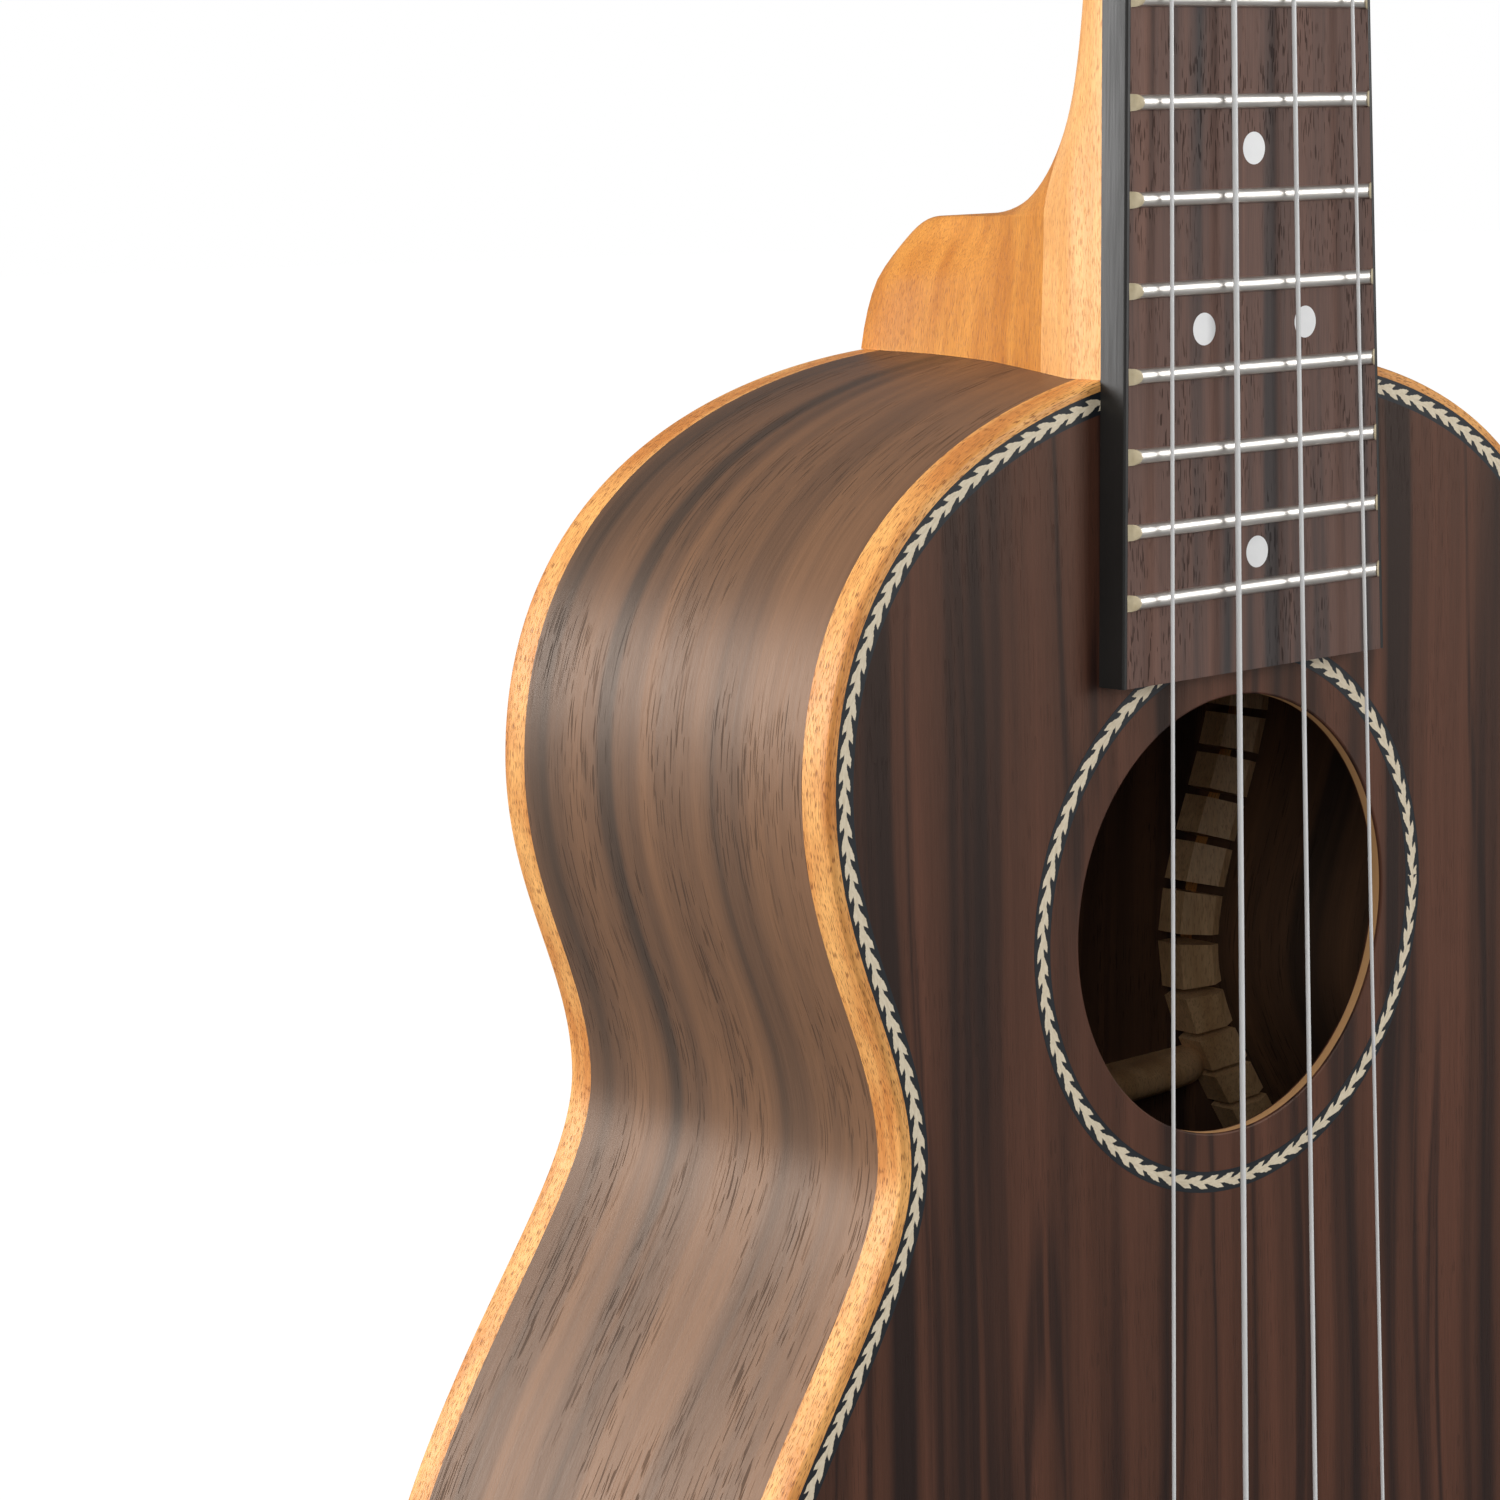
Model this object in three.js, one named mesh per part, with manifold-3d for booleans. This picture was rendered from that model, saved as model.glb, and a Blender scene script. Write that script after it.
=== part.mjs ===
// Concert ukulele: four strings, a figure-of-eight body with a flat top, a fretted neck and geared tuners.
// Millimetres. X points to the treble side, Y from the front to the back and Z up along the neck.
// The origin is where the nut crosses the centre line, in the plane of the soundboard's face.
import * as THREE from 'three';
import { mergeVertices } from 'three/addons/utils/BufferGeometryUtils.js';
import Module from 'manifold-3d';

const wasm = await Module();
wasm.setup();

const GAP = 0.3;                 // glue-line clearance between pieces that are cut to each other
const SCALE_LENGTH = 380;        // nut to saddle
const FRET_COUNT = 15;
const BODY_TOP_Z = -189.3;       // the body starts at the twelfth fret
const BODY_LENGTH = 285.7;
const UPPER_BOUT = { halfWidth: 76, z: -242.3 };
const WAIST = { halfWidth: 64.5, z: -290.8 };
const LOWER_BOUT = { halfWidth: 106.4, z: -398 };
const DEPTH_AT_NECK = 66;
const DEPTH_GAIN = 9.5;          // how much deeper the body is at the tail
const DEPTH_CURVE = 2.6;         // power that makes the back flatten out towards the tail
const PLATE_THICKNESS = 2;
const RIB_THICKNESS = 1.9;
const BINDING_WIDTH = 1.4;       // seen on the face of the top or back
const BINDING_HEIGHT = 5;        // seen on the side
const PURFLING_WIDTH = 2.7;
const LINING_WIDTH = 5;
const LINING_HEIGHT = 11;
const HOLE_RADIUS = 31.4;
const HOLE_Z = -267.4;
const ROSETTE_RADIUS = 38.4;     // middle of the inlaid ring
const ROSETTE_WIDTH = 3;
const ROSETTE_DEPTH = 1;
const BLOCK_HALF_WIDTH = 27;     // neck and tail blocks
const BLOCK_LENGTH = 17;
const BOARD_THICKNESS = 4.5;
const BOARD_END_Z = -231.8;
const BOARD_HALF_AT_NUT = 20.5;
const BOARD_HALF_AT_END = 26.8;
const BOARD_EDGE_WIDTH = 1.1;    // black strip along each side of the fingerboard
const FRET_HEIGHT = 0.9;
const FRET_WIDTH = 2;
const NUT_LENGTH = 4.5;          // along the neck
const NUT_HEIGHT = 5.2;
const STRING_HEIGHT_AT_NUT = 5.8;
const STRING_HEIGHT_AT_SADDLE = 7.8;
const STRING_GAUGES = { g: 0.56, c: 0.81, e: 0.66, a: 0.53 };
const STRING_AT_NUT = { g: -15.2, c: -5, e: 5, a: 15.2 };
const STRING_AT_SADDLE = { g: -22.8, c: -7.6, e: 7.6, a: 22.8 };
const SHAFT_DEPTH = 14.5;        // neck wood behind the fingerboard
const BRIDGE_Z = -382;
const BRIDGE_HALF_LENGTH = 40;
const TIE_BLOCK_HALF_LENGTH = 29;
const TIE_HOLE_HEIGHT = 4.6;
const HEAD_TILT = THREE.MathUtils.degToRad(12);
const HEAD_THICKNESS = 12;
const HEAD_LENGTH = 122;
const POST_RADIUS = 3;
const POST_X = 16;
const POST_STATIONS = { g: [-1, 38], c: [-1, 82], e: [1, 82], a: [1, 38] };
const WORM_OFFSET = 7.05;        // post axis to worm axis
const WORM_DEPTH = 16;           // worm axis behind the headstock's face
const WORM_RADIUS = 2.4;
const GEAR_RADIUS = 4.3;
const GEAR_TEETH = 14;

const finishes = {
  rosewood: new THREE.MeshStandardMaterial({ color: 0x4b3831, roughness: 0.5 }),
  ribwood: new THREE.MeshStandardMaterial({ color: 0x6e5a4c, roughness: 0.55 }),
  amber: new THREE.MeshStandardMaterial({ color: 0xd08a45, roughness: 0.5 }),
  neckwood: new THREE.MeshStandardMaterial({ color: 0xf0b878, roughness: 0.55 }),
  heelwood: new THREE.MeshStandardMaterial({ color: 0xd9903f, roughness: 0.55 }),
  spruce: new THREE.MeshStandardMaterial({ color: 0xcaa777, roughness: 0.7 }),
  purfling: new THREE.MeshStandardMaterial({ color: 0xd9cdb0, roughness: 0.6 }),
  black: new THREE.MeshStandardMaterial({ color: 0x1d1b1b, roughness: 0.45 }),
  nickel: new THREE.MeshStandardMaterial({ color: 0xd8d8d6, roughness: 0.25, metalness: 1 }),
  bone: new THREE.MeshStandardMaterial({ color: 0xece4d2, roughness: 0.4 }),
  nylon: new THREE.MeshStandardMaterial({ color: 0xdfe0e0, roughness: 0.2 }),
  pearl: new THREE.MeshStandardMaterial({ color: 0xe9e6df, roughness: 0.25 }),
};

const ukulele = new THREE.Group();

function place(name, geometry, finish, parent = ukulele) {
  const mesh = new THREE.Mesh(geometry, finishes[finish]);
  mesh.name = name;
  parent.add(mesh);
  return mesh;
}

// Turns a closed triangle mesh the right way out, whatever order its faces were made in.
function facingOut(geometry) {
  const { position } = geometry.attributes;
  const index = geometry.index.array;
  const [a, b, c] = [new THREE.Vector3(), new THREE.Vector3(), new THREE.Vector3()];
  let volume = 0;
  for (let i = 0; i < index.length; i += 3) {
    a.fromBufferAttribute(position, index[i]);
    b.fromBufferAttribute(position, index[i + 1]);
    c.fromBufferAttribute(position, index[i + 2]);
    volume += a.dot(b.cross(c));
  }
  if (volume < 0) {
    index.reverse();
  }
  return geometry;
}

// Joins matching rings of points into one closed skin, with flat ends unless the rings form a loop.
function loft(rings, isLoop = false) {
  const count = rings[0].length;
  const faces = [];
  const spans = isLoop ? rings.length : rings.length - 1;
  for (let i = 0; i < spans; i += 1) {
    const here = i * count;
    const next = ((i + 1) % rings.length) * count;
    for (let j = 0; j < count; j += 1) {
      const k = (j + 1) % count;
      faces.push(here + j, here + k, next + k, here + j, next + k, next + j);
    }
  }
  if (!isLoop) {
    const last = (rings.length - 1) * count;
    for (let j = 1; j < count - 1; j += 1) {
      faces.push(0, j + 1, j, last, last + j, last + j + 1);
    }
  }
  const geometry = new THREE.BufferGeometry();
  geometry.setAttribute('position', new THREE.Float32BufferAttribute(rings.flat(2), 3));
  geometry.setIndex(new THREE.Uint32BufferAttribute(faces, 1));
  return facingOut(geometry);
}

function welded(geometry) {
  const bare = geometry.clone();
  bare.deleteAttribute('normal');
  bare.deleteAttribute('uv');
  return mergeVertices(bare, 1e-4);
}

function solid(geometry) {
  const bare = welded(geometry);
  return new wasm.Manifold(new wasm.Mesh({
    numProp: 3,
    vertProperties: new Float32Array(bare.attributes.position.array),
    triVerts: new Uint32Array(bare.index.array),
  }));
}

function surface(manifold) {
  const { vertProperties, triVerts } = manifold.getMesh();
  const geometry = new THREE.BufferGeometry();
  geometry.setAttribute('position', new THREE.BufferAttribute(vertProperties, 3));
  geometry.setIndex(new THREE.BufferAttribute(triVerts, 1));
  return geometry;
}

// A box from its lowest and highest corners.
function block([x0, y0, z0], [x1, y1, z1]) {
  const box = new THREE.BoxGeometry(x1 - x0, y1 - y0, z1 - z0);
  return box.translate((x0 + x1) / 2, (y0 + y1) / 2, (z0 + z1) / 2);
}

// A flat piece: an outline of [x, z] points between two depths, with openings right through it.
function slab(outline, front, back, openings = []) {
  const shape = new THREE.Shape(outline.map(([x, z]) => new THREE.Vector2(x, z)));
  shape.holes = openings.map((hole) => new THREE.Path(hole.map(([x, z]) => new THREE.Vector2(x, z))));
  const plate = new THREE.ExtrudeGeometry(shape, { depth: back - front, bevelEnabled: false });
  return plate.rotateX(Math.PI / 2).translate(0, back, 0);
}

// A piece with one side profile of [y, z] points, the same all the way across.
function crosswise(profile, halfWidth) {
  const shape = new THREE.Shape(profile.map(([y, z]) => new THREE.Vector2(y, z)));
  const bar = new THREE.ExtrudeGeometry(shape, { depth: 2 * halfWidth, bevelEnabled: false });
  const turn = new THREE.Matrix4().makeBasis(
    new THREE.Vector3(0, 1, 0),
    new THREE.Vector3(0, 0, 1),
    new THREE.Vector3(1, 0, 0),
  );
  return bar.applyMatrix4(turn).translate(-halfWidth, 0, 0);
}

function circle(x, z, radius, steps) {
  return Array.from({ length: steps }, (_, i) => {
    const angle = (2 * Math.PI * i) / steps;
    return [x + radius * Math.cos(angle), z + radius * Math.sin(angle)];
  });
}

// A solid of revolution about the depth axis, from a closed profile of [radius, y] points.
function turned(profile, steps) {
  const points = profile.map(([radius, y]) => new THREE.Vector2(radius, y));
  return facingOut(welded(new THREE.LatheGeometry(points, steps)));
}

// Body outline: four cubic curves from the neck joint to the tail, level or upright where they meet.
function halfOutline() {
  const tailZ = BODY_TOP_Z - BODY_LENGTH;
  const upper = UPPER_BOUT;
  const lower = LOWER_BOUT;
  const curves = [
    [[0, BODY_TOP_Z], [45.3, BODY_TOP_Z], [upper.halfWidth, upper.z + 37.4], [upper.halfWidth, upper.z], 9],
    [[upper.halfWidth, upper.z], [upper.halfWidth, upper.z - 20],
      [WAIST.halfWidth, WAIST.z + 15.8], [WAIST.halfWidth, WAIST.z], 7],
    [[WAIST.halfWidth, WAIST.z], [WAIST.halfWidth, WAIST.z - 22.5],
      [lower.halfWidth, lower.z + 58.5], [lower.halfWidth, lower.z], 9],
    [[lower.halfWidth, lower.z], [lower.halfWidth, lower.z - 43], [60, tailZ], [0, tailZ], 9],
  ];
  const stations = [];
  for (const [start, out, into, end, steps] of curves) {
    const corners = [start, out, into, end].map(([x, z]) => new THREE.Vector2(x, z));
    const curve = new THREE.CubicBezierCurve(...corners);
    for (let i = stations.length ? 1 : 0; i <= steps; i += 1) {
      const point = curve.getPoint(i / steps);
      const along = curve.getTangent(i / steps);
      stations.push({ x: point.x, z: point.y, outX: -along.y, outZ: along.x });
    }
  }
  return stations;
}

const rightSide = halfOutline();
const leftSide = rightSide.slice(1, -1).reverse().map(({ x, z, outX, outZ }) => ({ x: -x, z, outX: -outX, outZ }));
const allRound = [...rightSide, ...leftSide];

function inset({ x, z, outX, outZ }, distance) {
  return [x - outX * distance, z - outZ * distance];
}

function bodyOutline(distance) {
  return allRound.map((station) => inset(station, distance));
}

function depthAt(z) {
  const along = THREE.MathUtils.clamp((BODY_TOP_Z - z) / BODY_LENGTH, 0, 1);
  return DEPTH_AT_NECK + DEPTH_GAIN * (1 - (1 - along) ** DEPTH_CURVE);
}

// Sweeps a section of [inset, y] corners, which may change along the body, all the way round it.
function hoop(section) {
  const rings = allRound.map((station) => section(station.z).map(([distance, y]) => {
    const [x, z] = inset(station, distance);
    return [x, y, z];
  }));
  return loft(rings, true);
}

// The same along one side only, from beside the centre line or from a block at each end.
function sideStrip(side, from, section) {
  const stations = rightSide.filter(({ x }, i) => x > from || (from === 0 && i % (rightSide.length - 1) === 0));
  const rings = stations.map((station) => section(station.z).map(([distance, y]) => {
    const [x, z] = inset(station, distance);
    return [side * Math.max(x, GAP / 2), y, z];
  }));
  return loft(rings);
}

// Everything in front of the back's curve, kept a given distance inside its outer face.
function inFrontOfBack(clearance) {
  const steps = 10;
  const profile = [[-40, BODY_TOP_Z + 20], [-40, BODY_TOP_Z - BODY_LENGTH - 20]];
  profile.push([depthAt(-1000) - clearance, BODY_TOP_Z - BODY_LENGTH - 20]);
  for (let i = 0; i <= steps; i += 1) {
    const z = BODY_TOP_Z - BODY_LENGTH * (1 - i / steps);
    profile.push([depthAt(z) - clearance, z]);
  }
  profile.push([depthAt(0) - clearance, BODY_TOP_Z + 20]);
  return solid(crosswise(profile, 130));
}

function makeBody() {
  const rosetteChannel = ROSETTE_WIDTH / 2 + GAP;
  const channel = turned([
    [ROSETTE_RADIUS - rosetteChannel, -1],
    [ROSETTE_RADIUS + rosetteChannel, -1],
    [ROSETTE_RADIUS + rosetteChannel, ROSETTE_DEPTH + GAP],
    [ROSETTE_RADIUS - rosetteChannel, ROSETTE_DEPTH + GAP],
    [ROSETTE_RADIUS - rosetteChannel, -1],
  ], 48).translate(0, 0, HOLE_Z);
  const ring = turned([
    [ROSETTE_RADIUS - ROSETTE_WIDTH / 2, 0],
    [ROSETTE_RADIUS + ROSETTE_WIDTH / 2, 0],
    [ROSETTE_RADIUS + ROSETTE_WIDTH / 2, ROSETTE_DEPTH],
    [ROSETTE_RADIUS - ROSETTE_WIDTH / 2, ROSETTE_DEPTH],
    [ROSETTE_RADIUS - ROSETTE_WIDTH / 2, 0],
  ], 48).translate(0, 0, HOLE_Z);
  const purflingFrom = BINDING_WIDTH + GAP;
  const plateFrom = purflingFrom + PURFLING_WIDTH + GAP;
  const hole = circle(0, HOLE_Z, HOLE_RADIUS, 40);
  const top = slab(bodyOutline(plateFrom), 0, PLATE_THICKNESS, [hole]);
  place('top_plate', surface(solid(top).subtract(solid(channel))), 'rosewood');
  place('rosette', ring, 'purfling');
  place('top_purfling', hoop(() => [
    [purflingFrom, 0], [purflingFrom, PLATE_THICKNESS],
    [purflingFrom + PURFLING_WIDTH, PLATE_THICKNESS], [purflingFrom + PURFLING_WIDTH, 0],
  ]), 'purfling');
  place('top_binding', hoop(() => [
    [0, 0], [0, BINDING_HEIGHT], [BINDING_WIDTH, BINDING_HEIGHT], [BINDING_WIDTH, 0],
  ]), 'amber');
  place('back_binding', hoop((z) => [
    [0, depthAt(z) - BINDING_HEIGHT], [0, depthAt(z)],
    [BINDING_WIDTH, depthAt(z)], [BINDING_WIDTH, depthAt(z) - BINDING_HEIGHT],
  ]), 'amber');

  const behindBack = inFrontOfBack(0).subtract(inFrontOfBack(PLATE_THICKNESS));
  const backBlank = solid(slab(bodyOutline(purflingFrom), 40, 100));
  place('back_plate', surface(backBlank.intersect(behindBack)), 'rosewood');

  const liningFrom = RIB_THICKNESS + GAP;
  const liningTo = liningFrom + LINING_WIDTH;
  for (const [label, side] of [['left', -1], ['right', 1]]) {
    place(`rib_${label}`, sideStrip(side, 0, (z) => [
      [0, BINDING_HEIGHT + GAP], [0, depthAt(z) - BINDING_HEIGHT - GAP],
      [RIB_THICKNESS, depthAt(z) - BINDING_HEIGHT - GAP], [RIB_THICKNESS, BINDING_HEIGHT + GAP],
    ]), 'ribwood');
    place(`top_lining_${label}`, sideStrip(side, BLOCK_HALF_WIDTH + 6, () => [
      [liningFrom, PLATE_THICKNESS + GAP], [liningFrom, PLATE_THICKNESS + LINING_HEIGHT],
      [liningFrom + 1.5, PLATE_THICKNESS + LINING_HEIGHT],
      [liningTo, PLATE_THICKNESS + 5], [liningTo, PLATE_THICKNESS + GAP],
    ]), 'spruce');
    place(`back_lining_${label}`, sideStrip(side, BLOCK_HALF_WIDTH + 6, (z) => {
      const inner = depthAt(z) - PLATE_THICKNESS;
      return [
        [liningFrom, inner - LINING_HEIGHT], [liningFrom, inner - 1],
        [liningTo, inner - 1], [liningTo, inner - 5], [liningFrom + 1.5, inner - LINING_HEIGHT],
      ];
    }), 'spruce');
  }

  const inside = solid(slab(bodyOutline(liningFrom), PLATE_THICKNESS, 100))
    .intersect(inFrontOfBack(PLATE_THICKNESS + GAP));
  const betweenLinings = solid(slab(bodyOutline(liningTo + GAP), PLATE_THICKNESS, 100))
    .intersect(inFrontOfBack(PLATE_THICKNESS + GAP));
  const tailZ = BODY_TOP_Z - BODY_LENGTH;
  const neckBlank = block([-BLOCK_HALF_WIDTH, 0, BODY_TOP_Z - BLOCK_LENGTH], [BLOCK_HALF_WIDTH, 100, 0]);
  const tailBlank = block([-BLOCK_HALF_WIDTH, 0, tailZ - 10], [BLOCK_HALF_WIDTH, 100, tailZ + BLOCK_LENGTH]);
  place('neck_block', surface(inside.intersect(solid(neckBlank))), 'spruce');
  place('tail_block', surface(inside.intersect(solid(tailBlank))), 'spruce');

  const topBraces = { top_brace_upper: -216, top_brace_lower: -309 };
  for (const [name, z] of Object.entries(topBraces)) {
    const bar = block([-130, PLATE_THICKNESS, z - 3], [130, PLATE_THICKNESS + 8, z + 3]);
    place(name, surface(betweenLinings.intersect(solid(bar))), 'spruce');
  }
  const backBraces = { back_brace_upper: -232, back_brace_middle: -313, back_brace_lower: -400 };
  for (const [name, z] of Object.entries(backBraces)) {
    const bar = block([-130, depthAt(z) - PLATE_THICKNESS - 8, z - 3], [130, 100, z + 3]);
    place(name, surface(betweenLinings.intersect(solid(bar))), 'spruce');
  }
  const plateUnder = block([-38, PLATE_THICKNESS, BRIDGE_Z - 13], [38, PLATE_THICKNESS + 1.8, BRIDGE_Z + 12]);
  place('bridge_plate', plateUnder, 'spruce');
}

function boardHalfWidth(z) {
  return THREE.MathUtils.mapLinear(z, 0, BOARD_END_Z, BOARD_HALF_AT_NUT, BOARD_HALF_AT_END);
}

function fretZ(number) {
  return -SCALE_LENGTH * (1 - 2 ** (-number / 12));
}

// A strip of the fingerboard between two distances from its edge lines.
function boardStrip(leftOf, rightOf) {
  const rings = [-GAP, BOARD_END_Z].map((z) => [
    [leftOf(z), -BOARD_THICKNESS, z], [rightOf(z), -BOARD_THICKNESS, z], [rightOf(z), 0, z], [leftOf(z), 0, z],
  ]);
  return loft(rings);
}

function makeFingerboard() {
  const inner = (z) => boardHalfWidth(z) - BOARD_EDGE_WIDTH;
  const core = (z) => inner(z) - GAP / 3;
  place('fingerboard', boardStrip((z) => -core(z), core), 'rosewood');
  place('board_edge_left', boardStrip((z) => -boardHalfWidth(z), (z) => -inner(z)), 'black');
  place('board_edge_right', boardStrip(inner, boardHalfWidth), 'black');
  for (let number = 1; number <= FRET_COUNT; number += 1) {
    const z = fretZ(number);
    const end = boardHalfWidth(z) - 0.5;
    const half = FRET_WIDTH / 2;
    const section = [
      [-BOARD_THICKNESS, -half], [-BOARD_THICKNESS - FRET_HEIGHT * 0.6, -half * 0.8],
      [-BOARD_THICKNESS - FRET_HEIGHT, -half * 0.3], [-BOARD_THICKNESS - FRET_HEIGHT, half * 0.3],
      [-BOARD_THICKNESS - FRET_HEIGHT * 0.6, half * 0.8], [-BOARD_THICKNESS, half],
    ];
    const wire = crosswise(section.map(([y, across]) => [y, z + across]), end);
    place(`fret_${String(number).padStart(2, '0')}`, wire, 'nickel');
  }
  const nut = block([-BOARD_HALF_AT_NUT, -NUT_HEIGHT, 0], [BOARD_HALF_AT_NUT, 0, NUT_LENGTH]);
  place('nut', nut, 'bone');
}

// Depth of the neck behind the fingerboard's plane, down the heel: [z, depth] points on the centre line.
function neckProfile() {
  const sweep = new THREE.CubicBezierCurve(
    new THREE.Vector2(-118, SHAFT_DEPTH),
    new THREE.Vector2(-152, SHAFT_DEPTH),
    new THREE.Vector2(-168.4, 28),
    new THREE.Vector2(-168.5, 45),
  );
  const cap = new THREE.CubicBezierCurve(
    new THREE.Vector2(-168.8, 57),
    new THREE.Vector2(-169.2, 63),
    new THREE.Vector2(-175, 69),
    new THREE.Vector2(-195, 75),
  );
  return [...sweep.getPoints(12), ...cap.getPoints(6)].map((point) => [point.x, point.y]);
}

function makeNeck() {
  const bodyBlank = solid(slab(bodyOutline(-GAP), -GAP, 100));
  const stations = [[NUT_LENGTH, SHAFT_DEPTH], [-60, SHAFT_DEPTH], ...neckProfile()];
  const shaftRings = stations.map(([z, depth]) => Array.from({ length: 15 }, (_, i) => {
    const angle = (Math.PI * i) / 14;
    return [-boardHalfWidth(z) * Math.cos(angle), Math.min(depth * Math.sin(angle), SHAFT_DEPTH), z];
  }));
  const shaft = solid(loft(shaftRings)).subtract(bodyBlank);

  const heelFrom = SHAFT_DEPTH + GAP;
  const heelRings = neckProfile().filter(([, depth]) => depth > heelFrom + 0.5).map(([z, depth]) => {
    const start = Math.asin(heelFrom / depth);
    return Array.from({ length: 15 }, (_, i) => {
      const angle = start + ((Math.PI - 2 * start) * i) / 14;
      return [-boardHalfWidth(z) * Math.cos(angle), Math.min(depth * Math.sin(angle), DEPTH_AT_NECK), z];
    });
  });
  place('heel', surface(solid(loft(heelRings)).subtract(bodyBlank)), 'heelwood');

  const head = new THREE.Group();
  head.position.z = NUT_LENGTH;
  head.rotation.x = -HEAD_TILT;
  head.updateMatrix();
  ukulele.add(head);
  const postHoles = Object.values(POST_STATIONS).map(([side, z]) => circle(side * POST_X, z, POST_RADIUS + 0.5, 12));
  const blank = slab(headOutline(0.3, 0), 0, HEAD_THICKNESS, postHoles).applyMatrix4(head.matrix);
  place('neck', surface(shaft.add(solid(blank))), 'neckwood');
  place('head_veneer', slab(headOutline(1.6, 0), -1.5, -GAP, postHoles), 'rosewood', head);
  return head;
}

// Headstock outline from a level cut above the nut: a flared ear, a soft waist and a bowed crest.
function headOutline(startZ) {
  const ear = new THREE.CubicBezierCurve(
    new THREE.Vector2(BOARD_HALF_AT_NUT, startZ),
    new THREE.Vector2(BOARD_HALF_AT_NUT + 1, 12),
    new THREE.Vector2(30, 12),
    new THREE.Vector2(29, 28),
  );
  const flank = new THREE.CubicBezierCurve(
    new THREE.Vector2(29, 28),
    new THREE.Vector2(27.5, 60),
    new THREE.Vector2(26.5, 80),
    new THREE.Vector2(29.5, 108),
  );
  const crest = new THREE.CubicBezierCurve(
    new THREE.Vector2(29.5, 108),
    new THREE.Vector2(22, 110),
    new THREE.Vector2(14, HEAD_LENGTH),
    new THREE.Vector2(0, HEAD_LENGTH),
  );
  const right = [...ear.getPoints(7), ...flank.getPoints(6).slice(1), ...crest.getPoints(6).slice(1)];
  const left = right.slice(0, -1).reverse().map((point) => new THREE.Vector2(-point.x, point.y));
  return [...right, ...left].map((point) => [point.x, point.y]);
}

function gearOutline() {
  const points = [];
  const root = GEAR_RADIUS - 0.9;
  for (let tooth = 0; tooth < GEAR_TEETH; tooth += 1) {
    for (const [share, radius] of [[0, root], [0.3, root], [0.45, GEAR_RADIUS], [0.8, GEAR_RADIUS]]) {
      const angle = (2 * Math.PI * (tooth + share)) / GEAR_TEETH;
      points.push([radius * Math.cos(angle), radius * Math.sin(angle)]);
    }
  }
  return points;
}

function rodAlongX(radius, from, to, steps) {
  const rod = new THREE.CylinderGeometry(radius, radius, to - from, steps);
  return rod.rotateZ(Math.PI / 2).translate((from + to) / 2, WORM_DEPTH, WORM_OFFSET);
}

// One tuner, about its own post: side is 1 on the treble side, where the button points along +X.
function makeTuner(name, side, head, stationZ) {
  const tuner = new THREE.Group();
  tuner.position.set(side * POST_X, 0, stationZ);
  head.add(tuner);
  const across = (from, to) => (side > 0 ? [from, to] : [-to, -from]);
  const plateFront = HEAD_THICKNESS + GAP;
  const plateBack = plateFront + 1.2;

  const [plateLeft, plateRight] = across(-8, 11);
  const bore = circle(0, 0, POST_RADIUS + 0.5, 12);
  const outline = [[plateLeft, -9], [plateRight, -9], [plateRight, 12], [plateLeft, 12]];
  let frame = solid(slab(outline, plateFront, plateBack, [bore]));
  for (const [from, to] of [across(-6.2, -4.8), across(8.8, 10.2)]) {
    const lug = block([from, plateBack - 0.2, WORM_OFFSET - 3], [to, WORM_DEPTH + 3, WORM_OFFSET + 3]);
    frame = frame.add(solid(lug));
  }
  const [boreFrom, boreTo] = across(-9, 12);
  frame = frame.subtract(solid(rodAlongX(2, boreFrom, boreTo, 12)));
  place(`tuner_plate_${name}`, surface(frame), 'nickel', tuner);

  const post = turned([
    [0, -12.5], [2.6, -12.5], [POST_RADIUS, -11.8], [2.5, -9.5], [2.5, -6.5], [POST_RADIUS, -5],
    [POST_RADIUS, 14.6], [2.4, 19.4], [0, 19.4],
  ], 12);
  const wheel = slab(gearOutline(), WORM_DEPTH - 1.8, WORM_DEPTH + 1.8);
  place(`tuner_post_${name}`, surface(solid(post).add(solid(wheel))), 'nickel', tuner);

  const [rodFrom, rodTo] = across(-7, 23);
  const [wormFrom, wormTo] = across(-3.6, 3.6);
  const [buttonFrom, buttonTo] = across(20, 33);
  const knob = circle(0, 0, 1, 20).map(([x, z]) => [
    (buttonFrom + buttonTo) / 2 + x * 6.5, WORM_OFFSET + z * 8.5,
  ]);
  const turner = solid(rodAlongX(1.6, rodFrom, rodTo, 10))
    .add(solid(rodAlongX(WORM_RADIUS, wormFrom, wormTo, 12)))
    .add(solid(slab(knob, WORM_DEPTH - 3.2, WORM_DEPTH + 3.2)));
  place(`tuner_button_${name}`, surface(turner), 'pearl', tuner);
}

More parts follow.
